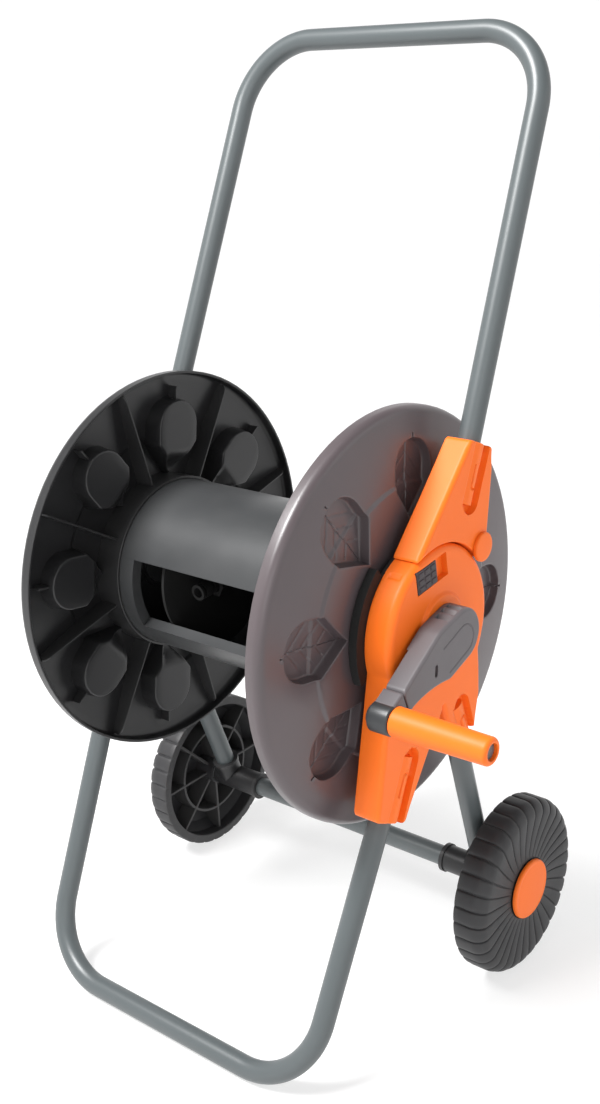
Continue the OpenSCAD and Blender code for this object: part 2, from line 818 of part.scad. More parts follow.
// Outline of a leaf about its own middle line, grown by t, with a stem of half width w beyond it
module leaf_outline(t, w, stem_l) {
    half = leaf_half + t;
    polygon(concat(
        [[leaf_tip - 1.6 * t, 0], [leaf_shoulder - 0.4 * t, -half]],
        [for (a = [-75 : 15 : 75]) [leaf_mid + half * cos(a), half * sin(a)]],
        [[leaf_shoulder - 0.4 * t, half]]));
    translate([stem_end - over, -w]) square([stem_l + over, 2 * w]);
}

// A shape at each leaf of a disc
module at_leaves() {
    for (i = [0 : leaf_count - 1]) rotate(leaf_angle + i * leaf_step) children();
}

// The leaf bosses, up into the pan's wall
module leaf_bosses() {
    intersection() {
        translate([0, 0, leaf_back]) linear_extrude(disc_face - leaf_back)
            at_leaves() leaf_outline(leaf_wall, 1.7, 9);
        rotate_extrude($fn = 128) polygon(concat(
            [[drum_r + 0.2, leaf_back - over], [disc_r - rim_r, leaf_back - over]],
            [for (i = [len(dome_radii) - 1 : -1 : 0]) [dome_radii[i], dome_x(dome_radii[i]) - disc_wall / 2]],
            [[drum_r + 0.2, disc_face - disc_wall / 2]]));
    }
}

// The room inside the leaf pockets, whose floors follow the pan
module leaf_pockets() {
    intersection() {
        translate([0, 0, leaf_back]) linear_extrude(2 * (disc_face - leaf_back))
            at_leaves() leaf_outline(0, 0.7, 5);
        rotate_extrude($fn = 128) polygon(concat(
            [for (r = dome_radii) [r, dome_x(r) - leaf_depth]],
            [[disc_r - rim_r, 2 * disc_face], [dome_radii[0], 2 * disc_face]]));
    }
}

// Domed pan of a disc: outer line from the hub to the rim, and the same line w inside it
function pan_line(w) = [
    [journal_r + 9, disc_face - w],
    for (r = dome_radii) [r, dome_x(r) - w],
    for (a = [75 : -15 : 0]) [disc_r - rim_r + (rim_r - w) * cos(a), rim_x + (rim_r - w) * sin(a)],
    [disc_r - w, disc_edge]];

// Stiffening ribs between the leaves, from the collar to the rim
module disc_ribs() {
    rib_t = 2.2;
    for (i = [0 : leaf_count - 1]) rotate(rib_angle + i * leaf_step)
        rotate([90, 0, 0]) translate([0, 0, -rib_t / 2]) linear_extrude(rib_t)
            polygon(concat(
                [[collar_r - 1, disc_edge], [disc_r - rim_r - 2, disc_edge]],
                [for (i = [len(dome_radii) - 1 : -1 : 1]) [dome_radii[i], dome_x(dome_radii[i]) - 1]],
                [[collar_r - 1, disc_face - 1]]));
}

module disc() {
    inner = pan_line(disc_wall);
    side() difference() {
        union() {
            rotate_extrude($fn = 128)
                polygon(concat(pan_line(0), [for (i = [len(inner) - 1 : -1 : 0]) inner[i]]));
            leaf_bosses();
            disc_ribs();
            translate([0, 0, collar_in]) ring(collar_r, drum_r + 0.2, disc_face - collar_in - 1);
            translate([0, 0, disc_hub_in]) cylinder(r = journal_r + 12, h = disc_face - disc_hub_in);
            translate([0, 0, disc_face - 1])
                cylinder(r = bush_flange_r - 1, h = plate_in - shell_t - bush_flange_t - seat - disc_face + 1);
        }
        leaf_pockets();
        translate([0, 0, disc_hub_in - over]) cylinder(r = journal_r + 0.02, h = plate_depth);
        rotate(notch_angle) translate([drum_r - 5, -4, collar_in - over]) cube([20, 8, 9]);
    }
}

module disc_right() {
    color(plum_grey) placed() disc();
}

module disc_left() {
    color(near_black) placed() mirror([1, 0, 0]) disc();
}

spindle_flange_t = 3;
crank_square = 1.9 * journal_r * sqrt(0.5); // side of the square that drives the crank
bolt_bore_r = 6;

// Flanged journal that carries a disc in its bush, seated on the disc's inner side
module spindle() {
    side() translate([0, 0, disc_hub_in]) {
        translate([0, 0, -spindle_flange_t]) cylinder(r = journal_r + 8, h = spindle_flange_t);
        translate([0, 0, -over]) cylinder(r = journal_r, h = boss_out - 1 - disc_hub_in + over);
    }
}

module spindle_right() {
    color(near_black) placed() difference() {
        union() {
            spindle();
            side() translate([0, 0, boss_out - 2]) linear_extrude(crank_out - 2 - boss_out)
                square(crank_square, center = true);
        }
        side() translate([0, 0, disc_hub_in - spindle_flange_t - over]) cylinder(r = bolt_bore_r, h = disc_face);
    }
}

module spindle_left() {
    color(near_black) placed() mirror([1, 0, 0]) difference() {
        spindle();
        side() translate([0, 0, disc_hub_in - spindle_flange_t - over])
            cylinder(r = pipe_r + 0.02, h = disc_face);
    }
}

// ---- water way ----

pipe_in = -40;                              // inner end of the water pipe
outlet_x = -54;                             // the outlet nipple's place along the drum
outlet_angle = 183;
pipe_out = boss_out - 2;                    // outer end of the pipe, inside the far journal
spigot_in = plate_in - 6;

module water_pipe() {
    color(dark_grey) placed() difference() {
        side() translate([0, 0, -pipe_out]) cylinder(r = pipe_r, h = pipe_out + pipe_in);
        side() translate([0, 0, -pipe_out - over]) cylinder(r = bore_r + 0.5, h = pipe_out + pipe_in - 3);
        side() translate([0, 0, -pipe_out - over]) cylinder(r = spigot_r + run_gap, h = pipe_out - spigot_in + over);
        along(outlet_angle) translate([0, 0, outlet_x]) rotate([0, 90, 0]) cylinder(r = 8, h = 30);
    }
}

// Nipple that the hose's coupling snaps on, inside the drum window
module hose_outlet() {
    flange_s = pipe_r + 8;
    color(near_black) placed() along(outlet_angle) translate([0, 0, outlet_x]) rotate([0, 90, 0])
        difference() {
            union() {
                translate([0, 0, 6]) cylinder(r = 7.98, h = flange_s - 6);
                translate([0, 0, flange_s]) cylinder(r = 13, h = 8, $fn = 6);
                nipple(flange_s + 8);
            }
            translate([0, 0, 5]) cylinder(r = bore_r, h = flange_s + nipple_l + 8);
        }
}

// Snap nipple with a locking groove and a seal groove near its tip
module nipple(z0) {
    difference() {
        translate([0, 0, z0 - 0.5]) cylinder(r = nipple_r, h = nipple_l + 0.5);
        translate([0, 0, z0 + 5]) ring(nipple_r + 3, nipple_r - 1.2, 3.5);
        translate([0, 0, z0 + nipple_l - 5]) ring(nipple_r + 3, nipple_r - 1.3, 2.4);
    }
}

clip_r = 26;                                // retaining collar of the elbow
clip_h = 5;
elbow_r = 10;
elbow_flange_r = 14;
elbow_flange_h = 3;
nipple_flange_r = 13;
nipple_flange_h = 6;
knee_swell = 0.8;                           // how much rounder the elbow is at its knee
elbow_x = boss_out + clip_h + nipple_flange_r + 0.5; // centre of the elbow's knee
inlet_angle = 330;
inlet_reach = 20;
ring_d = 2;
ring_groove_r = spigot_r - 1.6;
ring_first = 5;                             // the seal rings' places along the spigot
ring_pitch = 7;
ring_places = [spigot_in + ring_first, spigot_in + ring_first + ring_pitch];

module inlet_elbow() {
    color(dark_grey) placed() mirror([1, 0, 0]) difference() {
        union() {
            side() translate([0, 0, spigot_in]) cylinder(r = spigot_r, h = elbow_x - spigot_in);
            side() translate([0, 0, boss_out + seat]) {
                cylinder(r = elbow_r, h = elbow_x - boss_out - seat);
                cylinder(r = elbow_flange_r, h = elbow_flange_h - 2 * seat);
            }
            side() translate([0, 0, elbow_x]) sphere(r = elbow_r + knee_swell);
            along(inlet_angle) translate([0, 0, elbow_x]) rotate([0, 90, 0]) {
                cylinder(r = elbow_r, h = inlet_reach);
                translate([0, 0, inlet_reach]) cylinder(r = nipple_flange_r, h = nipple_flange_h);
                nipple(inlet_reach + nipple_flange_h);
            }
        }
        side() translate([0, 0, spigot_in - over]) cylinder(r = bore_r, h = elbow_x - spigot_in + over);
        side() translate([0, 0, elbow_x]) sphere(r = bore_r + knee_swell);
        along(inlet_angle) translate([0, 0, elbow_x]) rotate([0, 90, 0])
            cylinder(r = bore_r, h = inlet_reach + nipple_flange_h + nipple_l + over);
        for (x = ring_places) side() translate([0, 0, x]) ring(spigot_r + 3, ring_groove_r, ring_d);
    }
}

// Seal ring in a groove of the spigot
module inlet_ring(x) {
    mirror([1, 0, 0]) side() translate([0, 0, x + 0.1]) ring(spigot_r + 0.02, ring_groove_r + 0.02, ring_d - 0.2);
}

module inlet_ring_inner() {
    color(rubber_black) placed() inlet_ring(ring_places[0]);
}

module inlet_ring_outer() {
    color(rubber_black) placed() inlet_ring(ring_places[1]);
}

// Retaining collar on the casing's boss that keeps the elbow in
module inlet_collar() {
    color(dark_grey) placed() mirror([1, 0, 0]) side() translate([0, 0, boss_out]) difference() {
        cylinder(r = clip_r, h = clip_h);
        translate([0, 0, -over]) cylinder(r = elbow_flange_r + seat, h = elbow_flange_h + over);
        translate([0, 0, -over]) cylinder(r = elbow_r + seat, h = 2 * clip_h);
    }
}

// ---- crank ----

arm_tip = crank_len - 19;                   // where the arm meets the knuckle
arm_lift = 2;                               // how far the arm's underside rises to clear the hinge pin's head
knuckle_r = 13.5;
knuckle_foot_r = 9.5;
neck_w = 17;
waist_r = 127;                              // radius of the hollow lower edge of the arm
waist_pos = [93, 135];                      // and its centre, along and beside the arm
arm_hole_pos = [46.8, 0.4];                 // the arm's oblong hole, along and beside the arm
arm_hole_tilt = 63;
slot_count = 3;                             // slots in the hub end's side wall
slot_a0 = 91;                               // direction of the first about the drum axis
slot_step = 18.5;
slot_w = 6.4;
slot_sink = 4;

module crank_arm() {
    pegs = [
        [0, 0, crank_hub_r],
        concat(at(crank_angle, 27, -1.8), [crank_hub_r + 1.2]),
        concat(at(crank_angle, arm_tip - 9, -3.5), [9]),
        concat(at(crank_angle, arm_tip - 5, -10), [5]),
        concat(at(crank_angle, arm_tip - 5, 4), [5])];
    color(plum_grey) placed() difference() {
        peg_hull(pegs, crank_in, crank_depth, 3);
        side() translate([0, 0, crank_in - over]) linear_extrude(crank_depth - 4 + over)
            square(crank_square + 0.1, center = true);
        along(crank_angle) translate([0, 0, crank_in - over]) {
            translate([waist_pos[0], waist_pos[1], 0]) cylinder(r = waist_r, h = crank_depth + 2 * over);
            translate([crank_hub_r + 28, -hub_r, 0]) cube([crank_len, 2 * hub_r, arm_lift + over]);
            translate([arm_hole_pos[0], arm_hole_pos[1], 0]) rotate(arm_hole_tilt) arm_hole();
        }
        hub_slots();
    }
}

// Small oblong hole through the arm
module arm_hole() {
    r = 1.8;
    l = 7;
    for (end = [-l / 2, l / 2]) translate([end, 0, 0]) cylinder(r = r, h = crank_depth + 2 * over);
    translate([-l / 2, -r, 0]) cube([l, 2 * r, crank_depth + 2 * over]);
}

// Slots with thin ribs between them in the side wall of the arm's hub end
module hub_slots() {
    side() for (i = [0 : slot_count - 1]) rotate(slot_a0 + i * slot_step)
        translate([crank_hub_r - slot_sink, -slot_w / 2, crank_in + 4]) cube([2 * slot_sink, slot_w, crank_depth - 8]);
}

// Dark end piece of the crank: a stepped barrel round the grip's pin and the neck to the arm
module crank_knuckle() {
    barrel_in = crank_in + 1;
    foot_in = crank_in - 2;
    color(near_black) placed() difference() {
        union() {
            side() translate([grip_pos[0], grip_pos[1], foot_in]) cylinder(r = knuckle_foot_r, h = crank_depth + 2);
            side() translate([grip_pos[0], grip_pos[1], barrel_in]) cylinder(r = knuckle_r, h = crank_depth - 1);
            along(crank_angle) translate([arm_tip + 0.1, -neck_w / 2 - 0.5, crank_in + arm_lift])
                cube([knuckle_r, neck_w, crank_depth - arm_lift - 2]);
        }
        side() translate([grip_pos[0], grip_pos[1], crank_in - 10])
            cylinder(d = grip_pin_d + 0.04, h = 60);
    }
}

grip_recess_r = 7.4;                        // recess in the grip's end for the pin's head and the plug
grip_recess_l = 15.5;
plug_t = 4;
plug_sink = 3;                              // how far the plug lies below the grip's end

module grip_pin() {
    pin_foot = crank_in - 1;
    head = grip_end - grip_recess_l + seat;
    color(steel) placed() side() translate([grip_pos[0], grip_pos[1], pin_foot]) {
        cylinder(d = grip_pin_d, h = head + over - pin_foot);
        translate([0, 0, head - pin_foot]) cylinder(d = grip_pin_d + 5, h = 2.5);
    }
}

module grip() {
    end_r = 4;
    color(orange) placed() side() translate([grip_pos[0], grip_pos[1], grip_start]) difference() {
        rotate_extrude() polygon(concat(
            [[0, 0], [grip_d0 / 2 - 1, 0], [grip_d0 / 2, 1]],
            [for (a = [0 : 15 : 90])
                [grip_d1 / 2 - end_r + end_r * cos(a), grip_l - end_r + end_r * sin(a)]],
            [[0, grip_l]]));
        translate([0, 0, -over]) cylinder(d = grip_pin_d + 2 * run_gap, h = grip_l);
        translate([0, 0, grip_l - grip_recess_l]) cylinder(r = grip_recess_r, h = grip_recess_l + over);
    }
}

// Plug that closes the grip's end
module grip_plug() {
    color(plum_grey) placed() side() translate([grip_pos[0], grip_pos[1], grip_end - plug_sink - plug_t])
        cylinder(r = grip_recess_r - 0.02, h = plug_t);
}

// ---- parts ----

handle_tube();
foot_tube();
leg_right();
leg_left();
axle_tube();
axle_rod();
corner_right();
corner_left();
wheel_right();
wheel_left();
cap_right();
cap_left();
washer_right();
washer_left();
push_nut_right();
push_nut_left();
casing_right();
casing_left();
shell_right();
shell_left();
bush_right();
bush_left();
bracket_right();
bracket_left();
pivot_pin_right();
pivot_pin_left();
latch_slider();
drum_barrel();
drum_bulkhead();
disc_right();
disc_left();
spindle_right();
spindle_left();
water_pipe();
hose_outlet();
inlet_elbow();
inlet_ring_inner();
inlet_ring_outer();
inlet_collar();
crank_arm();
crank_knuckle();
grip_pin();
grip();
grip_plug();
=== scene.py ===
"""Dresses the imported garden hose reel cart: surfaces, finishes, light and camera.

Shapes are worked out in millimetres in the drum's own frame: X runs along the drum's axis to the crank side,
Y from the foot to the wheels and Z up. They go into their meshes in metres, at the cart's place.
"""
import json
import logging
import math
from collections.abc import Callable
from dataclasses import dataclass, field
from enum import Enum
from typing import ClassVar

import bmesh
import bpy
import numpy as np
from mathutils import Matrix, Vector


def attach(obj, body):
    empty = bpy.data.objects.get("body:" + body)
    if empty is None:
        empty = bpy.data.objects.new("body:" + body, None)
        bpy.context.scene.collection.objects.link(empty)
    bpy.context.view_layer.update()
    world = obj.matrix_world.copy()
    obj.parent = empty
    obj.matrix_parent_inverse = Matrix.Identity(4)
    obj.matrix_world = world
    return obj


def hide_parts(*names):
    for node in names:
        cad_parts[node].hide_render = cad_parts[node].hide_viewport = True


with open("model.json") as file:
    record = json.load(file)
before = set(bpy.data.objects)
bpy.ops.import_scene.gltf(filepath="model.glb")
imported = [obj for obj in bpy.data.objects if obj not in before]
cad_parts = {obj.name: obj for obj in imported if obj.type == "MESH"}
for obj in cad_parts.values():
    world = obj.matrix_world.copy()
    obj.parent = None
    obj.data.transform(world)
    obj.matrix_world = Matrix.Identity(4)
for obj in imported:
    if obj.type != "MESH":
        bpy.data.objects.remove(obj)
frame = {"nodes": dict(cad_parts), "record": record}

LOG = logging.getLogger("hose_reel")
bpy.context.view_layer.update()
MM = 0.001
DRUM_AXIS = np.array(
    next(j for j in frame["record"]["behaviour"]["joints"] if j["name"] == "drum_spin")["pos_m"]
)
TURN = 2 * math.pi
RAYS = np.linspace(0, TURN, 2400, endpoint=False)
HANDLE_TURN, FOOT_TURN, LEG_TURN = 65.8, 243.8, 287.8


class Hand(Enum):
    """The two sides of the cart."""

    RIGHT = 1
    LEFT = -1

    @property
    def word(self) -> str:
        """The side's name as the nodes spell it."""
        return self.name.lower()


# ---------------------------------------------------------------- finishes


class Tree:
    """A node tree that is being filled in."""

    def __init__(self, tree: bpy.types.NodeTree) -> None:
        """Takes the tree."""
        self.tree = tree

    def fill(self, node: bpy.types.Node, inputs: dict) -> None:
        """Gives a node's inputs their values, or links them where the value is another node's output.

        Args:
            node: The node.
            inputs: The values, by the inputs' names or numbers.
        """
        for key, value in inputs.items():
            if isinstance(value, bpy.types.NodeSocket):
                self.tree.links.new(value, node.inputs[key])
            else:
                node.inputs[key].default_value = value

    def add(self, kind: str, inputs: dict | None = None, **settings: object) -> bpy.types.Node:
        """Adds a node.

        Args:
            kind: The node's type.
            inputs: A value or another node's output for each input, by name or number.
            settings: The node's own properties.

        Returns:
            The new node.
        """
        node = self.tree.nodes.new(kind)
        for key, value in settings.items():
            setattr(node, key, value)
        self.fill(node, inputs or {})
        return node


class Effects:
    """Node groups that several finishes share, each made once."""

    MADE: ClassVar[dict[str, bpy.types.NodeTree]] = {}

    @classmethod
    def start(cls, name: str, inputs: dict[str, float | None],
              outputs: tuple[str, ...]) -> tuple[Tree, bpy.types.Node]:
        """Starts a group with its sockets.

        Args:
            name: The group's name.
            inputs: Each input's name and value, with None for a vector.
            outputs: The names of the outputs.

        Returns:
            The tree and its input node.
        """
        g = cls.MADE[name] = bpy.data.node_groups.new(name, "ShaderNodeTree")
        for key, value in inputs.items():
            kind = "NodeSocketVector" if value is None else "NodeSocketFloat"
            s = g.interface.new_socket(name=key, in_out="INPUT", socket_type=kind)
            if value is not None:
                s.default_value = value
        for key in outputs:
            g.interface.new_socket(name=key, in_out="OUTPUT", socket_type="NodeSocketFloat")
        return Tree(g), g.nodes.new("NodeGroupInput")

    @classmethod
    def grain(cls) -> bpy.types.NodeTree:
        """Makes the moulded grain: fine pits, slow cloudiness and long rub marks.

        Returns:
            A group with Fine and Cloud Size inputs, which puts out Height, Cloud and Rub.
        """
        if "moulded_grain" in cls.MADE:
            return cls.MADE["moulded_grain"]
        sizes = {"Vector": None, "Fine": 900.0, "Cloud Size": 9.0}
        t, into = cls.start("moulded_grain", sizes, ("Height", "Cloud", "Rub"))
        place, fine_size, cloud_size = (into.outputs[key] for key in sizes)
        noise = "ShaderNodeTexNoise"
        fine = t.add(noise, {"Vector": place, "Scale": fine_size, "Detail": 3})
        cloud = t.add(noise, {"Vector": place, "Scale": cloud_size, "Detail": 5, "Roughness": 0.6})
        stretch = t.add("ShaderNodeMapping",
                        {"Vector": place, "Scale": (14, 60, 14), "Rotation": (0.4, 0.2, 0.9)})
        rub = t.add(noise, {"Vector": stretch.outputs[0], "Scale": 1.6, "Detail": 8, "Roughness": 0.7})
        sharp = t.add("ShaderNodeMapRange", {"Value": rub.outputs["Fac"], "From Min": 0.56, "From Max": 0.72})
        t.add("NodeGroupOutput",
              {"Height": fine.outputs["Fac"], "Cloud": cloud.outputs["Fac"], "Rub": sharp.outputs[0]})
        return t.tree

    @classmethod
    def wear_and_crease_shade(cls) -> bpy.types.NodeTree:
        """Makes the masks of rubbed edges and of painted shade in concave creases, from how sharply the
        surface turns.

        Returns:
            A group with Cloud, Edge and Crease Shade inputs, which puts out the Edge mask and the Crease
            Shade mask, where shade is painted.
        """
        if "edge_wear_and_crease_shade" in cls.MADE:
            return cls.MADE["edge_wear_and_crease_shade"]
        t, into = cls.start("edge_wear_and_crease_shade", {"Cloud": 0.5, "Edge": 0.5, "Dirt": 0.5}, ("Edge", "Dirt"))
        bend = t.add("ShaderNodeNewGeometry").outputs["Pointiness"]
        masks = {}
        # Edge marks convex edges for wear; Crease Shade marks concave creases and corners, which are darkened
        # as painted shade.
        for word, lo, hi in (("Edge", 0.51, 0.58), ("Dirt", 0.49, 0.42)):
            ramp = t.add("ShaderNodeMapRange", {"Value": bend, "From Min": lo, "From Max": hi})
            broken = t.add("ShaderNodeMath", {0: ramp.outputs[0], 1: into.outputs["Cloud"]},
                           operation="MULTIPLY")
            masks[word] = t.add("ShaderNodeMath", {0: broken.outputs[0], 1: into.outputs[word]},
                                operation="MULTIPLY", use_clamp=True).outputs[0]
        t.add("NodeGroupOutput", masks)
        return t.tree


@dataclass(frozen=True)
class Finish:
    """One finish: a base colour with cloudiness, rub marks, worn edges, painted shade in concave creases and
    fine grain.
    """

    name: str
    colour: tuple[float, float, float]
    cloud: tuple[float, float, float]
    worn: tuple[float, float, float]
    roughness: float = 0.45
    spread: float = 0.12
    fine: float = 900.0
    cloud_size: float = 9.0
    bump: float = 0.05
    edge: float = 0.5
    # Strength of the painted shade in concave creases and corners.
    dirt: float = 0.4
    metallic: float = 0.0
    specular: float = 0.5
    glow: float = 0.0
    MADE: ClassVar[dict[str, bpy.types.Material]] = {}
    BUMP_DEPTH: ClassVar[float] = 0.0004
    # Share of the colour left where the painted crease shade is full.
    CREASE_SHADE: ClassVar[float] = 0.35

    def build(self) -> bpy.types.Material:
        """Makes the material once.

        Returns:
            The node material that carries this finish.
        """
        if self.name in self.MADE:
            return self.MADE[self.name]
        m = self.MADE[self.name] = bpy.data.materials.new(self.name)
        m.use_nodes = True
        t = Tree(m.node_tree)
        place = t.add("ShaderNodeTexCoord").outputs["Object"]
        grain = t.add("ShaderNodeGroup", {"Vector": place, "Fine": self.fine, "Cloud Size": self.cloud_size},
                      node_tree=Effects.grain())
        cloud = grain.outputs["Cloud"]
        wear_and_crease_shade = t.add("ShaderNodeGroup", {"Cloud": cloud, "Edge": self.edge, "Dirt": self.dirt},
                     node_tree=Effects.wear_and_crease_shade())
        colour = (*self.colour, 1)
        # Painted shade: the colour that concave creases and corners are darkened towards.
        crease_shade_colour = (*(self.CREASE_SHADE * c for c in self.colour), 1)
        layers = ((cloud, (*self.cloud, 1)), (wear_and_crease_shade.outputs["Edge"], (*self.worn, 1)),
                  (wear_and_crease_shade.outputs["Dirt"], crease_shade_colour))
        below = colour
        for mask, above in layers:
            below = t.add("ShaderNodeMix", {0: mask, 6: below, 7: above}, data_type="RGBA").outputs[2]
        blend = t.add("ShaderNodeMath", {0: grain.outputs["Rub"], 1: 0.3, 2: cloud}, operation="MULTIPLY_ADD")
        low, high = self.roughness - self.spread, self.roughness + self.spread
        rough = t.add("ShaderNodeMapRange", {"Value": blend.outputs[0], "To Min": low, "To Max": high})
        bump = t.add("ShaderNodeBump", {"Strength": self.bump, "Distance": self.BUMP_DEPTH,
                                        "Height": grain.outputs["Height"]})
        shader = t.tree.nodes["Principled BSDF"]
        t.fill(shader, {"Base Color": below, "Roughness": rough.outputs[0], "Normal": bump.outputs[0],
                        "Metallic": self.metallic, "Specular IOR Level": self.specular})
        if self.glow:
            t.fill(shader, {"Emission Color": (1, 1, 1, 1), "Emission Strength": self.glow})
        m.diffuse_color = colour
        return m


TUBE_PAINT = Finish("frame_paint", (0.085, 0.098, 0.102), (0.073, 0.085, 0.088), (0.22, 0.24, 0.24),
                    roughness=0.36, spread=0.06, fine=1400, bump=0.06, edge=0.3, specular=0.55)
ORANGE = Finish("orange_shell", (0.93, 0.172, 0.012), (0.88, 0.148, 0.010), (0.96, 0.27, 0.045),
                roughness=0.46, spread=0.07, fine=1600, bump=0.06, edge=0.35, dirt=0.25, specular=0.3)
# Near disc's finish: its reddish tint is a painted reflection of the orange casing; the far disc, of the same
# drum plastic, wears DISC_BLACK.
DISC_RED_REFLECTION = Finish("disc_plum", (0.094, 0.070, 0.076), (0.066, 0.056, 0.060), (0.16, 0.15, 0.15),
                   roughness=0.34, spread=0.08, fine=1300, bump=0.08, edge=0.3, cloud_size=5, specular=0.6)
DISC_BLACK = Finish("disc_black", (0.020, 0.020, 0.021), (0.015, 0.015, 0.016), (0.06, 0.06, 0.06),
                    roughness=0.33, spread=0.1, fine=1300, bump=0.08, edge=0.4, specular=0.45)
BARREL = Finish("barrel_black", (0.028, 0.030, 0.032), (0.022, 0.024, 0.026), (0.10, 0.10, 0.10),
                roughness=0.36, spread=0.1, fine=1300, bump=0.08)
BLACK = Finish("part_black", (0.020, 0.020, 0.021), (0.014, 0.014, 0.015), (0.06, 0.06, 0.06),
               roughness=0.4, spread=0.1, fine=1500, bump=0.08, specular=0.45)
# Near-black painted shade for the dark inside of the drum and of the crank's slots; the bearing shells wear
# it too.
SHADE = Finish("deep_black", (0.010, 0.010, 0.010), (0.007, 0.007, 0.007), (0.04, 0.04, 0.04),
               roughness=0.5, spread=0.1, fine=1500, bump=0.08, specular=0.25)
WHEEL = Finish("tyre_black", (0.036, 0.036, 0.038), (0.026, 0.026, 0.028), (0.09, 0.088, 0.085),
               roughness=0.5, spread=0.12, fine=700, bump=0.16, edge=0.6, specular=0.35)
PLUM = Finish("plum_grey", (0.125, 0.114, 0.120), (0.100, 0.091, 0.097), (0.18, 0.165, 0.175),
              roughness=0.42, spread=0.08, fine=1500, bump=0.09, specular=0.4)
DARK_PLUM = Finish("dark_plum", (0.048, 0.036, 0.041), (0.036, 0.027, 0.031), (0.12, 0.10, 0.11),
                   roughness=0.42, spread=0.08, fine=1500, bump=0.09, specular=0.35)
STEEL = Finish("bright_zinc", (0.60, 0.61, 0.63), (0.48, 0.49, 0.51), (0.75, 0.75, 0.76),
               roughness=0.3, spread=0.1, fine=500, metallic=1.0)
NYLON = Finish("white_nylon", (0.68, 0.66, 0.58), (0.60, 0.58, 0.50), (0.75, 0.73, 0.66), roughness=0.5)
RUBBER = Finish("seal_black", (0.015, 0.015, 0.015), (0.011, 0.011, 0.011), (0.03, 0.03, 0.03), roughness=0.7)
FLOOR = Finish("white_floor", (0.42, 0.42, 0.42), (0.41, 0.41, 0.41), (0.43, 0.43, 0.43),
               roughness=0.85, spread=0.05, fine=60, bump=0.01, cloud_size=2, edge=0, dirt=0,
               specular=0.1, glow=0.64)


# ---------------------------------------------------------------- surfaces


def smooth(x: np.ndarray, lo: float, hi: float) -> np.ndarray:
    """Rises from 0 at lo to 1 at hi along 3t^2 - 2t^3.

    Args:
        x: Where the curve is read.
        lo: Where it leaves 0.
        hi: Where it reaches 1.

    Returns:
        The values, shaped as x.
    """
    t = np.clip((x - lo) / (hi - lo), 0, 1)
    return t * t * (3 - 2 * t)


def arc(cx: float, cy: float, r: float, a0: float, a1: float, n: int) -> np.ndarray:
    """Points (cx + r cos a, cy + r sin a) with a from a0 to a1 degrees.

    Args:
        cx: Centre, first coordinate.
        cy: Centre, second coordinate.
        r: Radius.
        a0: First direction.
        a1: Last direction.
        n: Number of points.

    Returns:
        An array of n pairs.
    """
    a = np.radians(np.linspace(a0, a1, n))
    return np.stack([cx + r * np.cos(a), cy + r * np.sin(a)], -1)


def turned(y: np.ndarray, z: np.ndarray, degrees: float) -> tuple[np.ndarray, np.ndarray]:
    """Turns the pair (y, z) about zero by an angle in degrees."""
    c, s = math.cos(math.radians(degrees)), math.sin(math.radians(degrees))
    return y * c - z * s, y * s + z * c


def about_x(p: np.ndarray, degrees: float) -> np.ndarray:
    """Turns points about the X axis by an angle in degrees."""
    return np.stack([p[..., 0], *turned(p[..., 1], p[..., 2], degrees)], -1)


def lengths(p: np.ndarray) -> np.ndarray:
    """Length of a path of pairs from its start to each of its points."""
    return np.concatenate([[0], np.cumsum(np.hypot(*np.diff(p, axis=0).T))])


def round_x(r: np.ndarray, x: np.ndarray, angle: np.ndarray) -> np.ndarray:
    """Points at radius r and angle about the X axis: (x, r cos angle, r sin angle).

    Args:
        r: Radii.
        x: Places along X.
        angle: Angles in radians.

    Returns:
        An array of points, with the three inputs broadcast together.
    """
    r, x, angle = np.broadcast_arrays(r, x, angle)
    return np.stack([x, r * np.cos(angle), r * np.sin(angle)], -1)


def quads(rows: int, cols: int) -> np.ndarray:
    """Corner numbers of the quads between a grid's points, which are counted row by row."""
    i = np.arange(rows * cols).reshape(rows, cols)
    return np.stack([i[:-1, :-1], i[1:, :-1], i[1:, 1:], i[:-1, 1:]], -1).reshape(-1, 4)


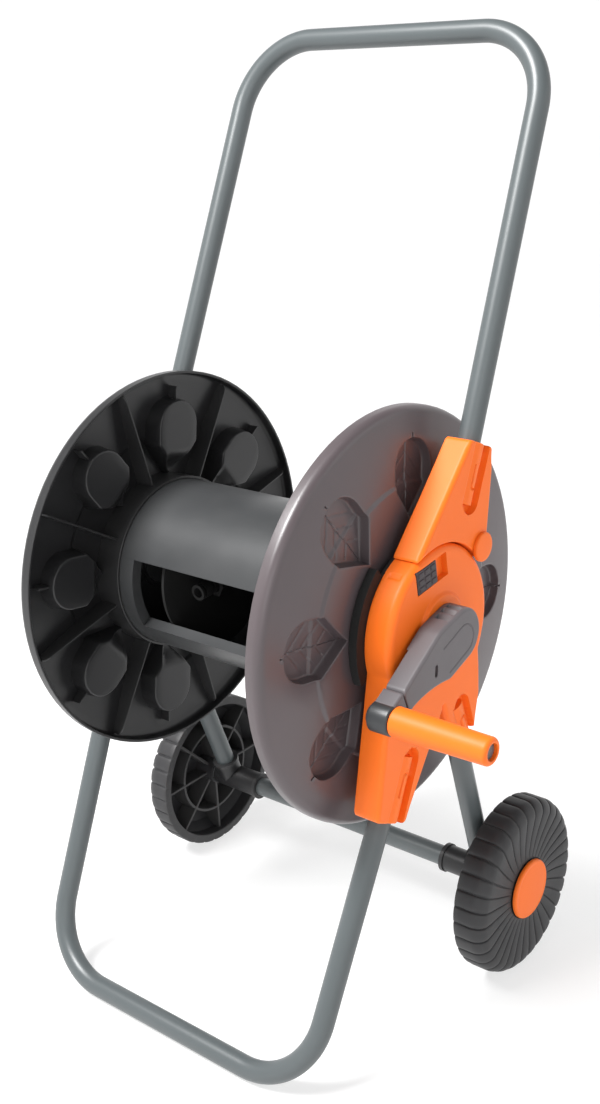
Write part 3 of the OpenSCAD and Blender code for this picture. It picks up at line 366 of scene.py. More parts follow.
class Skin:
    """One mesh gathered from grids of points in the drum's frame, in millimetres."""

    BEVEL = 0.6

    def __init__(self) -> None:
        """Starts an empty skin."""
        self.points: list[np.ndarray] = []
        self.quads: list[np.ndarray] = []
        self.count = 0

    def grid(self, p: np.ndarray, centre: tuple[float, float] = (0.0, 0.0)) -> "Skin":
        """Adds a grid of quads over an array of points.

        Args:
            p: Points shaped (rows, columns, 3).
            centre: Where the points' own zero lies in the Y-Z plane.

        Returns:
            The skin itself.
        """
        p = p + [0.0, *centre]
        rows, cols = p.shape[:2]
        self.quads.append(self.count + quads(rows, cols))
        self.points.append(p.reshape(-1, 3))
        self.count += rows * cols
        return self

    def spin(self, profile: np.ndarray, centre: tuple[float, float] = (0.0, 0.0), steps: int = 96) -> "Skin":
        """Adds a profile of (radius, x) turned once about a line along X.

        Args:
            profile: The pairs, in order, closed or ending on the axis.
            centre: Where the line crosses the Y-Z plane.
            steps: Number of steps round the turn.

        Returns:
            The skin itself.
        """
        a = np.linspace(0, TURN, steps + 1)
        a[-1] = 0.0
        return self.grid(round_x(profile[:, None, 0], profile[:, None, 1], a[None, :]), centre)

    def block(self, lo: tuple[float, float, float], hi: tuple[float, float, float], turn: float = 0.0,
              centre: tuple[float, float] = (0.0, 0.0)) -> "Skin":
        """Adds a box with softened edges, turned about X.

        Its eight corners are drawn in along each axis in turn, so each edge has a narrow bevel.

        Args:
            lo: Low corner before the turn.
            hi: High corner before the turn.
            turn: Turn in degrees.
            centre: Where the turned box's own zero lies in the Y-Z plane.

        Returns:
            The skin itself.
        """
        lo_, hi_ = np.array(lo, float), np.array(hi, float)
        mid, half = (lo_ + hi_) / 2, (hi_ - lo_) / 2
        s = min(self.BEVEL, 0.45 * half.min())
        u = np.array([[0, 0], [1, 0], [1, 0], [1, 1], [1, 1], [0, 1], [0, 1], [0, 0], [0, 0]], float) * 2 - 1
        c = np.array([[s, 0], [-s, 0], [0, s], [0, -s], [-s, 0], [s, 0], [0, -s], [0, s], [s, 0]])
        ring = u * half[1:] + c
        inner = u * (half[1:] - s)
        rows = []
        for x, r in ((-half[0], 0 * ring), (-half[0], inner), (-half[0] + s, ring), (half[0] - s, ring),
                     (half[0], inner), (half[0], 0 * ring)):
            rows.append(np.concatenate([np.full((9, 1), x), r], 1))
        p = np.stack(rows) + mid
        return self.grid(about_x(p, turn), centre)

    def piece(self, name: str, finish: Finish, body: str, nodes: tuple[str, ...] = (), slot: str = "",
              hand: Hand = Hand.RIGHT, sharp: float = 38.0) -> None:
        """Turns the skin into a finished piece on its body.

        Args:
            name: The piece's name.
            finish: Its finish.
            body: The body it rides on.
            nodes: The nodes that it stands for.
            slot: The record's material slot; not used.
            hand: The left piece is the right one mirrored across the cart.
            sharp: Edges that turn by more than this, in degrees, stay sharp.
        """
        p = np.concatenate(self.points) * [hand.value, 1, 1] * MM + DRUM_AXIS
        q = np.concatenate(self.quads)
        mesh = bpy.data.meshes.new(name)
        mesh.vertices.add(len(p))
        mesh.vertices.foreach_set("co", p.astype(np.float32).ravel())
        mesh.loops.add(q.size)
        mesh.loops.foreach_set("vertex_index", q.astype(np.int32).ravel())
        mesh.polygons.add(len(q))
        mesh.polygons.foreach_set("loop_start", np.arange(0, q.size, 4, dtype=np.int32))
        mesh.update(calc_edges=True)
        bm = bmesh.new()
        bm.from_mesh(mesh)
        bmesh.ops.remove_doubles(bm, verts=bm.verts, dist=2e-6)
        bmesh.ops.dissolve_degenerate(bm, dist=1e-7, edges=bm.edges)
        bmesh.ops.recalc_face_normals(bm, faces=bm.faces)
        bm.to_mesh(mesh)
        bm.free()
        mesh.polygons.foreach_set("use_smooth", np.ones(len(mesh.polygons), dtype=bool))
        mesh.set_sharp_from_angle(angle=math.radians(sharp))
        obj = bpy.data.objects.new(name, mesh)
        bpy.context.scene.collection.objects.link(obj)
        mesh.materials.append(finish.build())
        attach(obj, body)
        if nodes:
            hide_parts(*nodes)
        LOG.info("%s: %d faces on %s", name, len(mesh.polygons), body)


# ---------------------------------------------------------------- drum


@dataclass
class Disc:
    """A domed drum disc with leaf pockets outside, hollow bosses and radial ribs inside."""

    hand: Hand
    finish: Finish
    slot: str = "drum_plastic"
    rim: float = 190.0
    face: float = 154.5
    edge: float = 131.0
    wall: float = 2.5
    leaves: int = 8
    first_leaf: float = 81.5
    step_r: float = 126.0
    step_drop: float = 1.52
    flat_r: float = 92.0
    fall: float = 0.000882
    leaf_middle: float = 136.0
    leaf_tip: float = 86.6
    leaf_half: float = 26.8
    shoulder: float = 118.5
    pocket: float = 9.5
    boss_face: float = 129.6
    hub: float = 27.0

    def dome(self, r: np.ndarray) -> np.ndarray:
        """Outer face: flat to the step, a short slope down, then a parabola that falls to the rim.

        Args:
            r: Radii.

        Returns:
            The face's distance from the middle of the cart.
        """
        step = self.step_drop * smooth(r, self.step_r - 2.6, self.step_r + 1.6)
        return self.face - step - self.fall * np.clip(r - self.flat_r, 0, None) ** 2

    def half_width(self, r: np.ndarray, grow: float, slit: float) -> np.ndarray:
        """Half width of a leaf at radius r: straight edges from tip to shoulder, then a round stem end.

        Args:
            r: Radii.
            grow: How far the outline is grown.
            slit: Half width of the stem's slit beyond the round end, or 0.

        Returns:
            Half widths, 0 where there is no leaf.
        """
        half = self.leaf_half + grow
        tip = self.leaf_tip - 1.6 * grow
        end = arc(self.leaf_middle, 0, half, 90, 0, 40)
        line = np.concatenate([[[tip, 0], [self.shoulder - 0.4 * grow, half - 0.3]], end])
        w = np.interp(r, np.hypot(line[:, 0], line[:, 1]), line[:, 1], left=0, right=0)
        if slit:
            stem = (r > self.leaf_middle) & (r < self.leaf_middle + self.leaf_half + 4.5)
            w = np.where(stem, np.maximum(w, slit), w)
        return w

    def leaf_rows(self, grow: float, n: int) -> np.ndarray:
        """Radii from a leaf's tip to its stem end, closer together at both ends.

        Args:
            grow: How far the outline is grown.
            n: Number of radii.

        Returns:
            The radii, rising.
        """
        tip = self.leaf_tip - 1.6 * grow
        end = self.leaf_middle + self.leaf_half + grow
        t = (1 - np.cos(np.linspace(0, math.pi, n))) / 2
        t = 0.55 * t + 0.45 * np.linspace(0, 1, n)
        return tip + (end - tip) * t

    def sectors(self, skin: Skin, p: np.ndarray) -> None:
        """Adds a grid of one sector, given about the Y axis, once for every leaf.

        Args:
            skin: Where the grids go.
            p: Points shaped (rows, columns, 3).
        """
        for k in range(self.leaves):
            skin.grid(about_x(p, self.first_leaf + k * 360 / self.leaves))

    def both_halves(self, skin: Skin, w: np.ndarray) -> None:
        """Adds a grid of (down, half width, x) points on both sides of each leaf's middle line."""
        for sign in (1, -1):
            self.sectors(skin, np.stack([w[..., 2], w[..., 0], sign * w[..., 1]], -1))

    def leaf_edge(self, r: np.ndarray, half: np.ndarray) -> np.ndarray:
        """Angle at which the outline of the given half widths crosses the circles of radius r."""
        return np.arcsin(np.clip(half / r, 0, 1))

    def boss_top(self, r: np.ndarray) -> np.ndarray:
        """Face of the bosses: flat, with a slope from the leaf's tip."""
        return self.boss_face + 13.0 * (1 - smooth(r, self.leaf_tip, 112))

    def build(self) -> None:
        """Makes the disc: shell, pockets, bosses, ribs, collar and hub plate."""
        skin = Skin()
        half_sector = math.pi / self.leaves
        share = np.array([0, 0.02, 0.05, 0.10, 0.18, 0.30, 0.46, 0.64, 0.82, 1.0])
        step = self.step_r + np.array([-3.2, -2.2, -1.2, 0, 1, 2, 2.8])
        leaf_r = np.unique(np.concatenate([self.leaf_rows(0, 64), step, [167.1, 167.3]]))
        out_r = np.unique(np.concatenate([[self.hub, 55, 84], leaf_r, [172, 176, 180]]))
        out_x = self.dome(out_r)
        out_phi = self.leaf_edge(out_r, self.half_width(out_r, 0, 0.8))
        round_r = 8.0
        round_x_at = float(self.dome(np.array(self.rim - round_r))) - round_r - 0.05
        rim = arc(self.rim - round_r, round_x_at, round_r, 78, 0, 8)
        boss_r = np.unique(np.concatenate([self.leaf_rows(1.0, 40), step]))
        in_r = np.unique(np.concatenate([[self.hub, 55, 84], boss_r, [178]]))[::-1]
        in_phi = self.leaf_edge(in_r, self.half_width(in_r, 1.0, 0))
        lip = np.array([[self.rim, self.edge + 0.5], [self.rim - 0.5, self.edge], [self.rim - 2, self.edge],
                        [self.rim - 2.5, self.edge + 0.5]])
        inner_rim = arc(self.rim - round_r, round_x_at, round_r - self.wall, 0, 70, 6)
        r = np.concatenate([out_r, rim[:, 0], lip[:, 0], inner_rim[:, 0], in_r, out_r[:1]])
        x = np.concatenate([out_x, rim[:, 1], lip[:, 1], inner_rim[:, 1], self.dome(in_r) - self.wall,
                            out_x[:1]])
        whole = np.zeros(len(rim) + len(lip) + len(inner_rim))
        phi = np.concatenate([out_phi, whole, in_phi, out_phi[:1]])
        lipped = np.where((phi > 0) & (np.arange(len(r)) < len(out_r)), 1.0, 0.0)
        for sign in (1, -1):
            a = phi[:, None] + (half_sector - phi[:, None]) * share
            away = (a - phi[:, None]) * r[:, None]
            drop = 0.5 * lipped[:, None] * np.clip(1 - away / 1.6, 0, 1) ** 2
            self.sectors(skin, round_x(r[:, None], x[:, None] - drop, sign * a))
        self.pocket_walls(skin, out_r[(out_r >= self.leaf_tip) & (out_r <= 167.3)])
        self.bosses(skin, boss_r)
        self.ribs(skin)
        self.hub_plate(skin)
        word = self.hand.word
        skin.piece(f"disc_skin_{word}", self.finish, "drum", (f"disc_{word}",), self.slot, self.hand, 40)

    def pocket_walls(self, skin: Skin, rows: np.ndarray) -> None:
        """Adds the drafted walls and the veined floors of the pockets.

        A wall leaves the outline with a small round, leans inwards by 3 mm in all and meets the floor in a
        round. The floor carries a midrib groove and three side grooves on each side, as V-shaped cuts.

        Args:
            skin: Where the grids go.
            rows: Radii of the outline's points, from its tip to its far end.
        """
        half = self.half_width(rows, 0, 0.8)
        depth = self.pocket - 1.5 * smooth(rows, 130, 164)
        top = self.dome(rows) - 0.5 * (half > 0)
        centre = 128.0
        down = np.sqrt(rows**2 - half**2)
        reach = np.hypot(down - centre, half) + 1e-9
        slit = rows > self.leaf_middle + self.leaf_half - 0.3
        draft = ((0, 0), (0.25, 0.12), (0.5, 0.3), (1.0, 0.6), (1.5, 0.84), (2.1, 0.96), (3.0, 1.0))
        wall = []
        for inset, part in draft:
            k = np.where(slit, 1, np.clip(1 - inset / reach, 0, 1))
            rr, hh = centre + (down - centre) * k, half * np.where(slit, 1 - 0.5 * part, k)
            wall.append(np.stack([rr, hh, top - part * depth], -1))
        w = np.stack(wall)
        self.both_halves(skin, w)
        across = np.linspace(1, -1, 41)
        rr = np.repeat(w[-1, :, 0][:, None], len(across), 1)
        yy = w[-1, :, 1][:, None] * across
        cut = np.clip(1 - np.abs(yy) / 0.8, 0, 1)
        for start in (150.0, 134.0, 117.0):
            ahead = (start - rr) - np.abs(yy) * 0.95
            cut = np.maximum(cut, np.clip(1 - np.abs(ahead) / 1.0, 0, 1) * (np.abs(yy) > 0.3))
        inside = np.clip((w[-1, :, 1][:, None] - np.abs(yy)) / 1.5, 0, 1)
        floor = w[-1, :, 2][:, None] - 1.0 * cut * inside
        self.sectors(skin, np.stack([floor, rr, yy], -1))

    def bosses(self, skin: Skin, r: np.ndarray) -> None:
        """Adds the drop-shaped bosses behind the pockets, each with a fin at its stem.

        A boss has steep walls and a rounded rim. Its face slopes up from the tip and then lies flat.

        Args:
            skin: Where the grids go.
            r: Radii of the outline's points.
        """
        half = self.half_width(r, 1.0, 0)
        base = self.dome(r) - self.wall
        centre = 135.0
        down = np.sqrt(r**2 - half**2)
        reach = np.hypot(down - centre, half) + 1e-9
        rows = []
        for inset, part in ((0, 0), (1.2, 0.5), (2.2, 0.92), (2.6, 0.97), (3.3, 0.993), (4.2, 1.0)):
            k = 1 - inset / reach
            height = base + (self.boss_top(r) - base) * part
            rows.append(np.stack([centre + (down - centre) * k, half * k, height], -1))
        w = np.stack(rows)
        self.both_halves(skin, w)
        across = np.linspace(1, -1, 7)
        face = np.stack([np.repeat(w[-1, :, 2][:, None], 7, 1), np.repeat(w[-1, :, 0][:, None], 7, 1),
                         w[-1, :, 1][:, None] * across], -1)
        self.sectors(skin, face)
        stem = self.leaf_middle + self.leaf_half
        for k in range(self.leaves):
            skin.block((self.boss_face + 4.5, stem - 1, -1.0), (self.boss_face + 16, stem + 12, 1.0),
                       self.first_leaf + k * 360 / self.leaves)

    def ribs(self, skin: Skin) -> None:
        """Adds the tall radial ribs between the leaves and the collar that takes the barrel.

        Args:
            skin: Where the grids go.
        """
        r = np.concatenate([[86.2], np.linspace(92, 181, 24), [184.6]])
        top = np.interp(r, [86, 180, 184.6], [self.edge + 0.2, self.edge + 1.2, self.edge + 5])
        base = self.dome(r) - 1.2
        ring = [(-1.2, 0.0), (-1.0, 0.96), (-0.6, 1.0), (0.6, 1.0), (1.0, 0.96), (1.2, 0.0), (-1.2, 0.0)]
        p = np.stack([np.stack([base + (top - base) * k, r, np.full_like(r, z)], -1) for z, k in ring], 1)
        ends = [np.repeat((end[:, :1] + end[:, 5:6]) / 2, 7, 1) for end in (p[:1], p[-1:])]
        p = np.concatenate([ends[0], p, ends[1]])
        self.sectors(skin, about_x(p, 180 / self.leaves))
        inner, outer, end = 84.2, 86.7, 123.3
        back = self.face - 1
        collar = np.array([[inner, back], [inner, end + 0.4], [inner + 0.4, end], [outer - 0.4, end],
                           [outer, end + 0.4], [outer, back], [inner, back]])
        skin.spin(collar, steps=128)

    def hub_plate(self, skin: Skin) -> None:
        """Adds the hub plate and the thrust ring round the journal's hole.

        Args:
            skin: Where the plate goes.
        """
        plate = np.array([[18.02, 148.5], [29.6, 148.5], [30, 148.9], [30, 154.45], [26, 154.5], [26, 157.8],
                          [25.6, 158.2], [18.02, 158.2], [18.02, 148.5]])
        skin.spin(plate, steps=96)


# ---------------------------------------------------------------- mouldings


def belt(pegs: np.ndarray) -> np.ndarray:
    """Outline of a belt pulled round pegs.

    In every direction the belt lies on the peg that reaches furthest that way, so its point is that peg's
    centre plus its radius along the direction.

    Args:
        pegs: Pegs as rows of two coordinates and a radius.

    Returns:
        The closed outline, anticlockwise.
    """
    a = np.linspace(0, TURN, 3600, endpoint=False)
    way = np.stack([np.cos(a), np.sin(a)], -1)
    k = np.argmax(pegs[:, :2] @ way.T + pegs[:, 2:], axis=0)
    return evenly(pegs[k, :2] + pegs[k, 2:] * way, 900)


def evenly(p: np.ndarray, n: int) -> np.ndarray:
    """Spaces a closed outline's points evenly along its length.

    Args:
        p: The outline's points.
        n: How many points to return.

    Returns:
        The new points.
    """
    ring = np.concatenate([p, p[:1]])
    length = lengths(ring)
    at = np.linspace(0, length[-1], n, endpoint=False)
    return np.stack([np.interp(at, length, ring[:, 0]), np.interp(at, length, ring[:, 1])], -1)


def star(centre: np.ndarray, r: np.ndarray) -> np.ndarray:
    """Closed outline at the distances r from a centre, one for each of the RAYS."""
    return centre + r[:, None] * np.stack([np.cos(RAYS), np.sin(RAYS)], -1)


def ray_out(p: np.ndarray, centre: np.ndarray) -> np.ndarray:
    """How far rays from a centre go until they leave an outline for the last time.

    Args:
        p: The outline's points.
        centre: Where the RAYS start.

    Returns:
        The distances, 0 for a ray that misses.
    """
    way = np.stack([np.cos(RAYS), np.sin(RAYS)], -1)[:, None]
    start, run = (p - centre)[None], (np.roll(p, -1, 0) - p)[None]
    cross = way[..., 0] * run[..., 1] - way[..., 1] * run[..., 0]
    cross = np.where(np.abs(cross) < 1e-12, 1e-12, cross)
    t = (start[..., 0] * run[..., 1] - start[..., 1] * run[..., 0]) / cross
    u = (start[..., 0] * way[..., 1] - start[..., 1] * way[..., 0]) / cross
    return np.max(np.where((u >= 0) & (u <= 1) & (t > 0), t, 0), axis=1)


def ray_to_circle(circle: tuple[float, float, float], centre: np.ndarray) -> np.ndarray:
    """How far rays from a centre go until they meet a circle, and a long way where they miss it.

    Args:
        circle: Two coordinates and the radius.
        centre: Where the RAYS start, outside the circle.

    Returns:
        The distances.
    """
    off = np.array(circle[:2]) - centre
    along = off[0] * np.cos(RAYS) + off[1] * np.sin(RAYS)
    left = circle[2] ** 2 - (off @ off - along**2)
    return np.where((left > 0) & (along > 0), along - np.sqrt(np.clip(left, 0, None)), 1e3)


def draw_to(p: np.ndarray, field_at: Callable, wall: float, near: float = 1.0) -> np.ndarray:
    """Draws the points of a grid onto the line of a cut, so its edge runs clean across the grid.

    The field is the distance from the line, positive inside the cut. A point just outside moves along the
    field's slope to the line, and one just inside moves to the wall's foot, which is the line itself where
    there is no wall. Each keeps a small part of its distance, so that no two points meet.

    Args:
        p: Points shaped (rows, columns, 2).
        field_at: Takes points and returns the field.
        wall: How far inside the line the wall's foot lies.
        near: How far from the line points are moved.

    Returns:
        The moved points.
    """
    step, keep = 0.02, 0.04
    d = field_at(p)
    slope = np.stack([field_at(p + [step, 0]) - field_at(p - [step, 0]),
                      field_at(p + [0, step]) - field_at(p - [0, step])], -1) / (2 * step)
    slope = slope / np.clip(np.hypot(slope[..., 0], slope[..., 1]), 0.5, None)[..., None]
    aim = np.where((d > 0) & (d < wall + near), wall + keep * (d - wall), d)
    aim = np.where((d > -near) & (d <= 0), keep * d, aim)
    return p + slope * (aim - d)[..., None]


@dataclass
class Moulding:
    """A moulding with a shaped face over an outline, walls all round and a plain back.

    Attributes:
        outline: The closed outline in the moulding's own side view, seen from its centre without overlaps.
        centre: The point that the rows of the face start from.
        edge: Rounding of the face's edge at each point of the outline.
        face: Distance of the face from the middle of the cart.
        back: Distance of the back from the middle of the cart.
        turn: Direction of the moulding's own first axis, in degrees.
        core: Radius about the centre inside which the face is a plain fan.
        columns: Points round the outline.
        rows: Rows of the face between the core and the outline.
    """

    outline: np.ndarray
    centre: tuple[float, float]
    edge: np.ndarray
    face: float
    back: float
    turn: float = 0.0
    core: float = 1.0
    columns: int = 700
    rows: int = 104

    def soften(self, reach: float) -> None:
        """Rounds the outline's corners by averaging its neighbours, nearest ones most.

        Args:
            reach: About how far along the outline the averaging goes.
        """
        n = 3000
        p = evenly(self.outline, n)
        step = np.hypot(*(p[1] - p[0]))
        k = np.arange(-int(2.5 * reach / step), int(2.5 * reach / step) + 1)
        weight = np.exp(-0.5 * (k * step / reach) ** 2)
        p = sum(w * np.roll(p, int(i), 0) for i, w in zip(k, weight)) / weight.sum()
        share = lengths(np.concatenate([self.outline, self.outline[:1]]))
        even = np.linspace(0, 1, len(self.edge), endpoint=False)
        edge = np.interp(even, share[:-1] / share[-1], self.edge)
        edge = np.interp(np.linspace(0, 1, n, endpoint=False), even, edge)
        wide = np.arange(-60, 61)
        self.edge = sum(np.roll(edge, int(i)) for i in wide) / len(wide)
        self.outline = p

    def inside(self, p: np.ndarray) -> tuple[np.ndarray, np.ndarray]:
        """Finds how deep points lie inside the outline, and the edge's rounding there.

        Args:
            p: Points shaped (rows, columns, 2).

        Returns:
            Depths and roundings shaped (rows, columns).
        """
        near = self.outline.astype(np.float32)
        depth, edge = np.empty(p.shape[:2]), np.empty(p.shape[:2])
        for i, row in enumerate(p.astype(np.float32)):
            square = (row[:, None, 0] - near[None, :, 0]) ** 2 + (row[:, None, 1] - near[None, :, 1]) ** 2
            k = np.argmin(square, axis=1)
            depth[i] = np.sqrt(square[np.arange(len(k)), k])
            edge[i] = self.edge[k]
        depth[-1] = 0
        return depth, edge

    def place(self, p: np.ndarray, x: np.ndarray) -> np.ndarray:
        """Turns points of the side view into the cart's frame.

        Args:
            p: Points shaped (..., 2).
            x: Their distances from the middle of the cart.

        Returns:
            Points shaped (..., 3).
        """
        return np.stack([x + 0 * p[..., 0], *turned(p[..., 0], p[..., 1], self.turn)], -1)

    def grids(self, skin: Skin, shape: Callable, cuts: tuple[tuple[Callable, float], ...] = (),
              dent: Callable | None = None, lift: Callable | None = None) -> None:
        """Adds the face, the walls and the back.

        The face starts at the wall with a quarter circle, its rounded edge. The shape lowers or raises it.

        Args:
            skin: Where the grids go.
            shape: Takes the face's points and its plain height and returns the shaped height.
            cuts: The field of each sharp cut in the face, with the width of its wall.
            dent: Takes wall points and their height and returns how far they are pressed in.
            lift: Takes points and returns how far the back lies above its plain level.
        """
        rim = evenly(self.outline, self.columns)
        rim = np.concatenate([rim, rim[:1]])
        centre = np.array(self.centre)
        reach = np.hypot(*(rim - centre).T)
        w = 1 - (1 - np.linspace(0, 1, self.rows)) ** 1.3
        core = self.core / reach
        k = np.concatenate([[0 * reach, 0.5 * core], core + (1 - core) * w[:, None]])
        p = centre + (rim - centre) * k[..., None]
        for field_at, wall in cuts:
            p[2:-1, :-1] = draw_to(p[2:-1, :-1], field_at, wall)
        p[:, -1] = p[:, 0]
        depth, edge = self.inside(p)
        far = np.clip(edge - depth, 0, None)
        x = shape(p, self.face - edge + np.sqrt(np.clip(edge**2 - far**2, 0, None)))
        skin.grid(self.place(p, x))
        rise = lift or (lambda _: 0 * reach)
        floor = self.back + rise(rim)
        level = np.concatenate([np.linspace(1, 0.06, 27), [0.03]])[:, None]
        wall = floor + (x[-1] - floor) * level
        inward = (centre - rim) / reach[:, None]
        q = np.repeat(rim[None], len(level), 0)
        if dent:
            q = q + inward * dent(q, wall)[..., None]
        skin.grid(self.place(q, wall))
        bevel, half_way = 0.8, centre + (rim - centre) * 0.5
        q = np.stack([rim, rim + inward * bevel, half_way, rim * 0 + centre])
        x = np.stack([wall[-1], floor, self.back + rise(half_way), self.back + 0 * reach])
        skin.grid(self.place(q, x))


@dataclass
class Socket:
    """Where a tube enters a side moulding: a half-tube bump with a J-shaped groove round it.

    Attributes:
        turn: Direction of the tube, in degrees.
        start: Where the groove starts along the tube.
        side: 1 where the groove lies to the left of the tube's direction, -1 where it lies to the right.
    """

    turn: float
    start: float
    side: int
    half: float = 9.3
    crown: float = 13.25
    depth: float = 6.8
    groove_r: float = 12.0
    groove_edge: float = 15.0
    bump_start: float = 7.8
    bump_corner: float = 2.6
    tongue_start: float = 25.9
    tongue_end: float = 44.0
    tongue_middle: float = 1.4
    tongue_half: float = 3.4

    def local(self, p: np.ndarray) -> tuple[np.ndarray, np.ndarray]:
        """Distances along the tube from the groove's start, and across it towards the groove.

        Args:
            p: Points of the side view.

        Returns:
            Along and across.
        """
        along, across = turned(p[..., 0], p[..., 1], -self.turn)
        return along - self.start, across * self.side

    def pit(self, p: np.ndarray) -> np.ndarray:
        """Field of the groove: a disc round the bump's end and a strip beside the bump, open at the front.

        Args:
            p: Points of the side view.

        Returns:
            Distances inside the groove's line, negative outside.
        """
        along, across = self.local(p)
        r, edge = self.groove_r, self.groove_edge
        strip = np.where(along > r, np.minimum(edge - across, across + self.half + 2), -20.0)
        return np.maximum(r - np.hypot(along - r, across - (edge - r)), strip)

    def hold(self, p: np.ndarray) -> np.ndarray:
        """Field of the bump inside the groove: the tube's width, from its round-cornered end on.

        Args:
            p: Points of the side view.

        Returns:
            Distances inside the bump's line, negative outside.
        """
        along, across = self.local(p)
        y = self.bump_start + self.bump_corner - along
        z = across - (self.half + 0.4 - self.bump_corner)
        corner = np.hypot(np.clip(y, 0, None), np.clip(z, 0, None)) + np.minimum(np.maximum(y, z), 0)
        return np.where(across < -self.half, -20, self.bump_corner - corner)

    def tongue(self, p: np.ndarray) -> np.ndarray:
        """Field of the thin U-shaped slot round the tongue: its distance from the U's line.

        Args:
            p: Points of the side view.

        Returns:
            Signed distances from the line, large beyond the U's ends.
        """
        along, across = self.local(p)
        before = np.clip(self.tongue_start - along, 0, None)
        line = np.hypot(before, across - self.tongue_middle) - self.tongue_half
        return np.where((along > self.tongue_end) | (along < 18), 9.0, line)

    def cuts(self) -> tuple[tuple[Callable, float], ...]:
        """The fields of the groove, the bump and the tongue's slot with the widths of their walls."""
        return (self.pit, 0.7), (self.hold, 0.5), (self.tongue, 0.0)

    def shape(self, p: np.ndarray, x: np.ndarray) -> np.ndarray:
        """Cuts the groove and leaves the bump standing in it.

        The bump is a round crown that falls steeply into the groove, and by a soft crease to the face on its
        other side. The slot round the tongue is a V.

        Args:
            p: Points of the side view.
            x: Height so far.

        Returns:
            The new height.
        """
        along, across = self.local(p)
        fall = self.crown - np.sqrt(np.clip(self.crown**2 - np.clip(across, 0, 11) ** 2, 0, None))
        crease = 1.2 * smooth(-across, 1.5, 8.4) * (1 - smooth(-across, 8.4, 10.2))
        slot = 2.2 * np.clip(1 - np.abs(self.tongue(p)) / 0.9, 0, 1)
        bump = 0.3 * smooth(across, -9, 0) - fall - crease - slot
        pit = -self.depth * smooth(self.pit(p), 0, 0.7)
        drop = pit + (bump - pit) * smooth(self.hold(p), 0, 0.5)
        drop = np.where((along > 8) & (across <= -self.half), -crease, drop)
        return x + np.where((along > -2) & (along < 90) & (np.abs(across) < 20), drop, 0)


